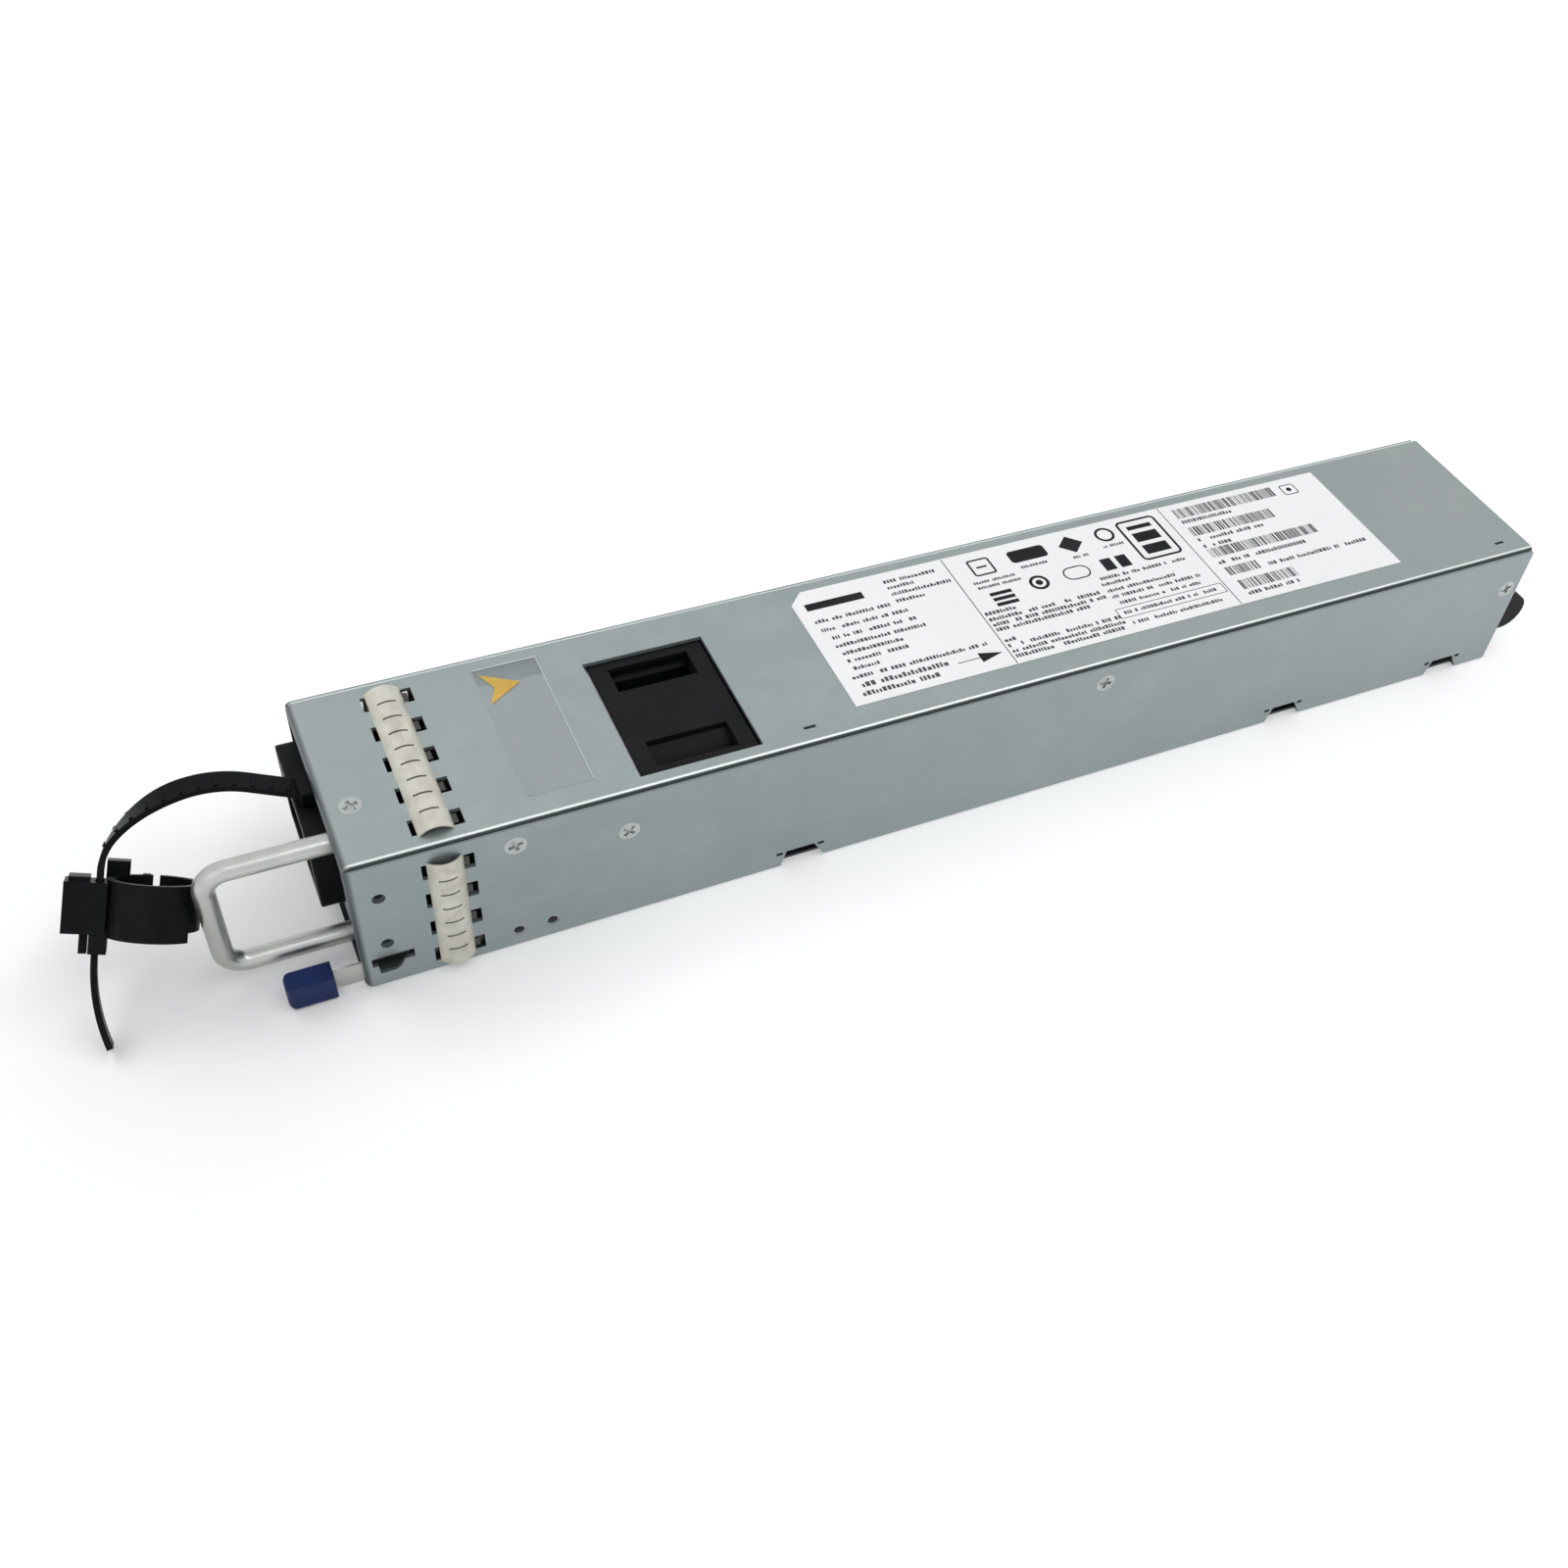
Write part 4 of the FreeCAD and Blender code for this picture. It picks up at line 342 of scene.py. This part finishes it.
def metals():
    """The finishes of the metal pieces, by the record's slot name or one of this script's own."""
    return {
        # Painted shade: darker tones of the zinc on the upright sides and on the front panel
        "zinc_steel": zinc_material("zinc steel", SIDE_SHADE),
        "cover_steel": zinc_material("cover steel", marks=(rear_painted_shade, bend_painted_highlight_and_shade, front_painted_shade)),
        "tray_steel": zinc_material("tray steel", SIDE_SHADE, (notch_painted_shade, front_painted_shade)),
        "shaded_front_steel": zinc_material("front steel", FRONT_SHADE),
        # Painted light: a lighter copy of the zinc for the fan bracket seen under the fan window
        "lit_bracket_steel": surface("bright steel", (0.62, 0.64, 0.63), (0.74, 0.76, 0.75),
                                rough=(0.35, 0.45), scale=90, metallic=0.4, relief=0.1),
        "spring_steel": latch_material(),
        "finger_metal": finger_material(),
        "handle_metal": surface("satin bar", (0.44, 0.44, 0.43), (0.52, 0.52, 0.505),
                                rough=(0.28, 0.36), scale=120, metallic=0.9, relief=0.06),
        "screw_metal": surface("zinc screws", (0.38, 0.41, 0.40), (0.50, 0.53, 0.51),
                               rough=(0.30, 0.44), scale=300, metallic=0.8, relief=0.1,
                               edge=0.12 * MM),
        "contact_metal": surface("plated contact", (0.50, 0.36, 0.15), (0.66, 0.49, 0.22),
                                 rough=(0.22, 0.34), scale=200, metallic=0.95),
        "copper_wire": surface("winding", (0.34, 0.12, 0.035), (0.48, 0.19, 0.06),
                               rough=(0.25, 0.4), scale=500, metallic=0.8, relief=0.5),
        "sink_metal": surface("extruded fins", (0.46, 0.47, 0.48), (0.54, 0.55, 0.56),
                              rough=(0.35, 0.5), scale=120, metallic=0.9, relief=0.1,
                              stretch=DRAWN),
    }


def mouldings():
    """The finishes of the plastic and ceramic pieces."""
    return {
        "black_plastic": surface("black moulding", (0.0055, 0.0058, 0.0058),
                                 (0.009, 0.0095, 0.0095), rough=(0.40, 0.56), scale=110,
                                 relief=0.25, shine=0.10, edge=0.3 * MM),
        "strap_nylon": surface("nylon", (0.0030, 0.0032, 0.0034), (0.0060, 0.0062, 0.0066),
                               rough=(0.34, 0.48), scale=140, relief=0.25, shine=0.08,
                               edge=0.3 * MM),
        "blue_plastic": surface("blue cap", (0.003, 0.013, 0.066), (0.005, 0.021, 0.105),
                                rough=(0.36, 0.48), scale=160, relief=0.2, shine=0.2,
                                edge=0.7 * MM),
        "lens_plastic": surface("light pipe", (0.55, 0.62, 0.56), (0.64, 0.70, 0.64),
                                rough=(0.1, 0.2), scale=200),
        "board_laminate": surface("laminate", (0.012, 0.085, 0.035), (0.020, 0.12, 0.05),
                                  rough=(0.3, 0.45), scale=90, relief=0.1),
        "insulator": surface("insulating sheet", (0.55, 0.55, 0.50), (0.62, 0.62, 0.57),
                             rough=(0.5, 0.6), scale=60),
        "lead_insulation": surface("wire", (0.012, 0.012, 0.012), (0.02, 0.02, 0.02),
                                   rough=(0.4, 0.55), scale=150),
        "can_metal": surface("sleeved can", (0.010, 0.012, 0.020), (0.018, 0.02, 0.032),
                             rough=(0.2, 0.3), scale=80),
        "film_case": surface("film capacitor", (0.62, 0.40, 0.03), (0.72, 0.48, 0.05),
                             rough=(0.3, 0.4), scale=80),
        "ferrite": surface("ferrite", (0.028, 0.028, 0.03), (0.045, 0.045, 0.048),
                           rough=(0.45, 0.6), scale=130, metallic=0.1, relief=0.3),
        "fuse_body": surface("ceramic", (0.66, 0.64, 0.58), (0.74, 0.72, 0.67),
                             rough=(0.25, 0.35), scale=120),
    }


def sheets_and_inks():
    """The finishes of the label, the film and their print."""
    return {
        "label_stock": surface("label stock", (0.86, 0.865, 0.86), (0.90, 0.905, 0.90),
                               rough=(0.48, 0.56), scale=40, shine=0.3),
        "film_stock": film_material(),
        "ink": surface("print", (0.010, 0.010, 0.011), (0.020, 0.020, 0.021),
                       rough=(0.5, 0.6), scale=90, shine=0.08),
        "soft_ink": surface("soft print", (0.050, 0.050, 0.052), (0.10, 0.10, 0.105),
                            rough=(0.5, 0.6), scale=900, shine=0.2),
        "pale_edge": surface("pale edge", (0.55, 0.58, 0.58), (0.66, 0.69, 0.68),
                             rough=(0.3, 0.4), scale=90),
        "amber": surface("amber print", (0.55, 0.34, 0.05), (0.66, 0.42, 0.08),
                         rough=(0.3, 0.42), scale=260, metallic=0.2),
    }


MATERIALS = {**metals(), **mouldings(), **sheets_and_inks()}
# Own finishes: painted shade on the cover, tray and front panel, a painted highlight on the
# cover's bends, painted light on the bracket
OWN_FINISH = {"top_cover": "cover_steel", "base_tray": "tray_steel",
              "front_panel": "shaded_front_steel", "fan_bracket": "lit_bracket_steel"}


def dress_nodes():
    """Give every CAD node its own finish, or else that of its slot in the record."""
    for row in frame["record"]["subparts"]:
        node = frame["nodes"][row["node"]]
        node.data.materials.clear()
        finish = OWN_FINISH.get(row["node"], row["material_slot"])
        node.data.materials.append(MATERIALS[finish])


# Print

def rounded(left, top, length, height, radius, steps=5):
    """The corners of a rounded rectangle; a radius of half its height makes an oval."""
    right = left + length - radius
    bottom = top + height - radius
    corners = ((right, top + radius, -90), (right, bottom, 0), (left + radius, bottom, 90),
               (left + radius, top + radius, 180))
    points = []
    for x, y, start in corners:
        for step in range(steps + 1):
            angle = math.radians(start + 90 * step / steps)
            points.append((x + radius * math.cos(angle), y + radius * math.sin(angle)))
    return points


class Print:
    """Plain shapes printed on a node's top face, as one piece.

    Places are millimetres from the face's front edge and, as one reads it, down from its far
    edge. A row's blocks and gaps are shares of its height, and stripes are in millimetres."""

    INK = 0.03
    BLOCK_WIDTHS = (0.35, 0.75)
    BLOCK_DROPS = (0, 0, 0.28)
    BLOCK_GAP = 0.24
    BREAK_CHANCE = 0.16
    BREAK_GAP = 0.75
    STRIPE_WIDTHS = (0.18, 0.18, 0.34, 0.5)
    STRIPE_GAPS = (0.2, 0.2, 0.36, 0.55)

    def __init__(self, node, seed=1):
        low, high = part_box(node)
        self.front = low[0]
        self.far = high[1]
        self.face = high[2]
        self.mesh = bmesh.new()
        self.random = random.Random(seed)

    def loop(self, points, rise):
        """A closed line of vertices."""
        return [self.mesh.verts.new((self.front + x * MM, self.far - y * MM,
                                     self.face + rise * MM)) for x, y in points]

    def wall(self, low, high):
        """The faces between two lines of vertices."""
        count = len(low)
        for i in range(count):
            j = (i + 1) % count
            self.mesh.faces.new((low[i], low[j], high[j], high[i]))

    def solid(self, points):
        """A filled shape."""
        low = self.loop(points, 0)
        high = self.loop(points, self.INK)
        self.mesh.faces.new(low)
        self.mesh.faces.new(high)
        self.wall(low, high)

    def band(self, outer, inner):
        """The shape between two outlines with as many corners."""
        loops = [self.loop(outer, 0), self.loop(outer, self.INK), self.loop(inner, self.INK),
                 self.loop(inner, 0)]
        for low, high in zip(loops, loops[1:] + loops[:1]):
            self.wall(low, high)

    def bar(self, left, top, length, height):
        """A plain rectangle."""
        self.solid([(left, top), (left + length, top), (left + length, top + height),
                    (left, top + height)])

    def disc(self, left, top, size):
        """A filled disc."""
        self.solid(rounded(left, top, size, size, size / 2))

    def outline(self, left, top, length, height, radius, line):
        """A rounded rectangle's outline."""
        self.band(rounded(left, top, length, height, radius),
                  rounded(left + line, top + line, length - 2 * line, height - 2 * line,
                          radius - line))

    def row(self, left, top, length, height):
        """A row of small plain blocks in uneven groups."""
        place = left
        while place < left + length:
            block = self.random.uniform(*self.BLOCK_WIDTHS) * height
            drop = self.random.choice(self.BLOCK_DROPS) * height
            if self.random.random() < self.BREAK_CHANCE:
                place += self.BREAK_GAP * height
                continue
            self.bar(place, top + drop, block, height - drop)
            place += block + self.BLOCK_GAP * height

    def stripes(self, left, top, length, height):
        """A block of upright stripes of uneven width."""
        place = left
        while place < left + length:
            stripe = self.random.choice(self.STRIPE_WIDTHS)
            self.bar(place, top, stripe, height)
            place += stripe + self.random.choice(self.STRIPE_GAPS)

    def finish(self, name, ink, slot):
        """Make the piece."""
        bmesh.ops.recalc_face_normals(self.mesh, faces=self.mesh.faces)
        mesh = bpy.data.meshes.new(name)
        self.mesh.to_mesh(mesh)
        self.mesh.free()
        mesh.materials.append(MATERIALS[ink])
        obj = bpy.data.objects.new(name, mesh)
        bpy.context.scene.collection.objects.link(obj)
        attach(obj, "case")


def label_frames():
    """The label's two dividing lines, its boxes and its flow arrow."""
    low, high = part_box("rating_label")
    width = (high[1] - low[1]) / MM
    line = 0.22
    margin = 0.2
    sheet = Print("rating_label")
    for left in (43.2, 109.2):
        sheet.bar(left, margin, line, width - 2 * margin)
    sheet.outline(76.4, 32.4, 32.2, 3.7, radius=0.3, line=0.18)
    sheet.outline(147.8, 2.6, 4.6, 4.2, radius=0.7, line=0.28)
    sheet.disc(149.3, 3.9, 1.6)
    sheet.bar(29.4, 36.5, 6.4, line)
    sheet.solid([(35.6, 35.0), (41.7, 36.6), (35.6, 38.3)])
    sheet.finish("label_frames", "ink", "label_stock")


def label_marks():
    """Plain shapes where the label carries marks."""
    sheet = Print("rating_label")
    sheet.bar(2.9, 4.8, 15.6, 2.5)
    sheet.outline(48.9, 3.0, 6.4, 6.4, radius=0.9, line=0.55)
    sheet.bar(50.6, 5.9, 3.0, 0.6)
    sheet.solid(rounded(60.6, 3.2, 10.8, 4.6, radius=1.1))
    sheet.solid([(78.9, 2.4), (82.5, 5.8), (78.9, 9.2), (75.3, 5.8)])
    sheet.outline(86.9, 2.4, 5.6, 5.6, radius=2.79, line=0.75)
    sheet.outline(94.4, 1.9, 12.2, 16.4, radius=1.6, line=0.7)
    for top, height in ((4.4, 1.5), (7.4, 3.6), (12.5, 3.6)):
        sheet.bar(96.8, top, 7.4, height)
    for top in (16.2, 18.2, 20.2):
        sheet.bar(48.9, top, 6.2, 1.2)
    sheet.outline(60.7, 13.9, 5.4, 5.4, radius=2.69, line=0.85)
    sheet.disc(62.4, 15.6, 2.0)
    sheet.outline(70.8, 13.9, 7.8, 4.9, radius=2.44, line=0.4)
    for left in (82.7, 87.3):
        sheet.bar(left, 13.9, 3.2, 4.6)
    sheet.finish("label_marks", "ink", "label_stock")


def label_rows():
    """The label's rows of small print, as blocks that spell nothing: left, top and length of
    each, by the height of their blocks."""
    sheet = Print("rating_label", seed=11)
    rows = (
        (1.15, ((2.9, 11.0, 20.2), (3.2, 14.3, 24.0), (4.6, 17.6, 22.4), (3.2, 20.6, 26.0),
                (4.6, 23.5, 16.0), (4.6, 26.3, 16.0), (4.9, 29.1, 6.6), (3.2, 32.0, 36.4),
                (25.4, 2.9, 14.2), (25.4, 5.2, 8.4), (25.4, 7.7, 16.2), (25.4, 10.4, 7.6))),
        (1.55, ((3.2, 34.8, 23.8),)),
        (1.45, ((3.2, 37.7, 20.4),)),
        (1.2, ((44.2, 22.4, 8.2), (44.2, 24.6, 32.2), (44.2, 26.6, 32.2), (44.2, 28.5, 26.4),
               (44.2, 32.6, 3.2), (44.2, 34.6, 32.2), (44.2, 36.6, 32.2), (44.2, 38.5, 30.4))),
        (1.1, ((78.4, 20.2, 26.4), (78.4, 22.4, 9.4), (78.4, 25.0, 20.6), (78.4, 27.4, 28.6),
               (78.4, 30.0, 25.4), (78.4, 37.7, 27.4), (78.2, 33.7, 28.0))),
        (0.9, ((47.0, 11.2, 12.6), (47.2, 13.2, 12.2), (61.8, 9.4, 7.8), (76.9, 10.4, 4.6),
               (86.8, 9.2, 5.6))),
        (1.25, ((112.8, 7.0, 16.2), (112.8, 14.9, 21.0), (112.8, 17.7, 7.8),
                (112.8, 24.8, 29.4), (125.6, 29.5, 31.6), (113.4, 37.9, 16.2))),
    )
    for height, group in rows:
        for left, top, length in group:
            sheet.row(left, top, length, height)
    sheet.finish("label_rows", "soft_ink", "label_stock")


def label_stripes():
    """The label's blocks of stripes."""
    sheet = Print("rating_label", seed=5)
    blocks = ((112.8, 2.1, 32.2, 3.9), (112.8, 10.1, 26.6, 3.7), (112.8, 19.6, 34.4, 3.6),
              (113.0, 27.6, 10.0, 3.3), (113.4, 33.2, 17.2, 3.6))
    for left, top, length, height in blocks:
        sheet.stripes(left, top, length, height)
    sheet.finish("label_stripes", "ink", "label_stock")


def film_print():
    """The film's pale cut edges, and a plain amber arrowhead that points along the airflow."""
    low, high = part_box("clear_film")
    length = (high[0] - low[0]) / MM
    width = (high[1] - low[1]) / MM
    far_cut = 0.28
    rear_cut = 0.16
    edge = Print("clear_film")
    edge.bar(0, 0, length, far_cut)
    edge.bar(length - rear_cut, far_cut, rear_cut, width - far_cut)
    edge.finish("film_edge", "pale_edge", "film_stock")
    arrow = Print("clear_film")
    arrow.solid([(1.1, 2.0), (9.4, 7.0), (1.1, 12.2), (3.3, 7.05)])
    arrow.finish("film_arrow", "amber", "film_stock")


# Scene

def photo_camera():
    """The camera that the photo was taken with, fitted to the case's corners and holes."""
    place = at(-18.327, -259.982, 306.142)
    right = Vector((0.899599, -0.427190, 0.090716))
    down = Vector((-0.264031, -0.697479, -0.666192))
    ahead = Vector((0.347863, 0.575354, -0.740243))
    image = 1600
    focal = 1684.70
    centre_x = 883.66
    centre_y = 841.33
    camera = bpy.data.cameras.new("camera")
    camera.sensor_width = 36.0
    camera.lens = focal * camera.sensor_width / image
    camera.shift_x = (image / 2 - centre_x) / image
    camera.shift_y = (centre_y - image / 2) / image
    camera.clip_start = 0.01
    obj = bpy.data.objects.new("camera", camera)
    bpy.context.scene.collection.objects.link(obj)
    turn = Matrix((right, -down, -ahead)).transposed().to_4x4()
    obj.matrix_world = Matrix.Translation(place) @ turn
    bpy.context.scene.camera = obj


def lamp(name, place, target, size, power, mirrored=True):
    """A soft lamp that faces a point. One that isn't mirrored lights but shows in no gloss."""
    data = bpy.data.lights.new(name, "AREA")
    data.shape = "RECTANGLE"
    data.size, data.size_y = size
    data.energy = power
    obj = bpy.data.objects.new(name, data)
    bpy.context.scene.collection.objects.link(obj)
    obj.visible_glossy = mirrored
    obj.location = place
    obj.rotation_euler = (Vector(target) - Vector(place)).to_track_quat("-Z", "Y").to_euler()


def seen(tree):
    """1 where the camera, a reflection or a clear surface shows the background, and else 0."""
    path = tree.nodes.new("ShaderNodeLightPath")
    shown = path.outputs["Is Camera Ray"]
    for name in ("Is Glossy Ray", "Is Transmission Ray"):
        shown = math_node(tree, "MAXIMUM", shown, path.outputs[name])
    return shown


def floor_glow_and_painted_shadow(tree):
    """What lifts the bench to white where it is seen, with a painted shadow: less of it under the
    handle and the strap, where the part's shade is deepest, and more towards the horizon."""
    reach = 2.0
    place = tree.nodes.new("ShaderNodeTexCoord")
    away = tree.nodes.new("ShaderNodeVectorMath")
    away.operation = "DISTANCE"
    away.inputs[1].default_value = at(-30, -15, 0)
    tree.links.new(place.outputs["Object"], away.inputs[0])
    distances = ((0.02, 0.09), (0.11, 0.3), (1.4, 0.62))
    return mask(tree, math_node(tree, "DIVIDE", away.outputs["Value"], reach),
                [(distance / reach, amount) for distance, amount in distances])


def floor():
    """A pale bench that keeps the part's shadow and shows white where nothing shades it."""
    material, tree, shader = nodes_of("bench")
    cloud = noise(tree, scale=14, detail=5.0)
    tree.links.new(clouded(tree, cloud, (0.84, 0.84, 0.835), (0.87, 0.87, 0.865)),
                   shader.inputs["Base Color"])
    tree.links.new(spread(tree, cloud, 0.5, 0.65), shader.inputs["Roughness"])
    shader.inputs["Emission Color"].default_value = (1, 1, 1, 1)
    tree.links.new(math_node(tree, "MULTIPLY", seen(tree), floor_glow_and_painted_shadow(tree)),
                   shader.inputs["Emission Strength"])
    half = 6.0
    mesh = bpy.data.meshes.new("bench")
    mesh.from_pydata([(-half, -half, 0), (half, -half, 0), (half, half, 0), (-half, half, 0)],
                     [], [(0, 1, 2, 3)])
    mesh.materials.append(material)
    obj = bpy.data.objects.new("bench", mesh)
    bpy.context.scene.collection.objects.link(obj)


def world():
    """Even pale light, and a white surround where it is seen or mirrored."""
    sky = bpy.data.worlds.new("studio")
    bpy.context.scene.world = sky
    sky.use_nodes = True
    tree = sky.node_tree
    backdrop = tree.nodes["Background"]
    backdrop.inputs["Color"].default_value = (0.97, 0.985, 1.0, 1)
    tree.links.new(spread(tree, seen(tree), 0.58, 1.0), backdrop.inputs["Strength"])


def set_stage():
    """Floor, light and camera."""
    floor()
    world()
    lamp("strip", place=(0.28, -0.22, 0.95), target=(0.05, 0, 0), size=(1.1, 0.22), power=2.6)
    lamp("far", place=(-0.5, 0.5, 0.8), target=(0, 0, 0), size=(0.6, 0.6), power=3.0,
         mirrored=False)
    lamp("fill", place=(-0.7, -0.6, 0.6), target=(0, 0, 0), size=(0.8, 0.8), power=0.9)
    photo_camera()
    bpy.context.scene.view_settings.view_transform = "Standard"


dress_nodes()
label_frames()
label_marks()
label_rows()
label_stripes()
film_print()
set_stage()
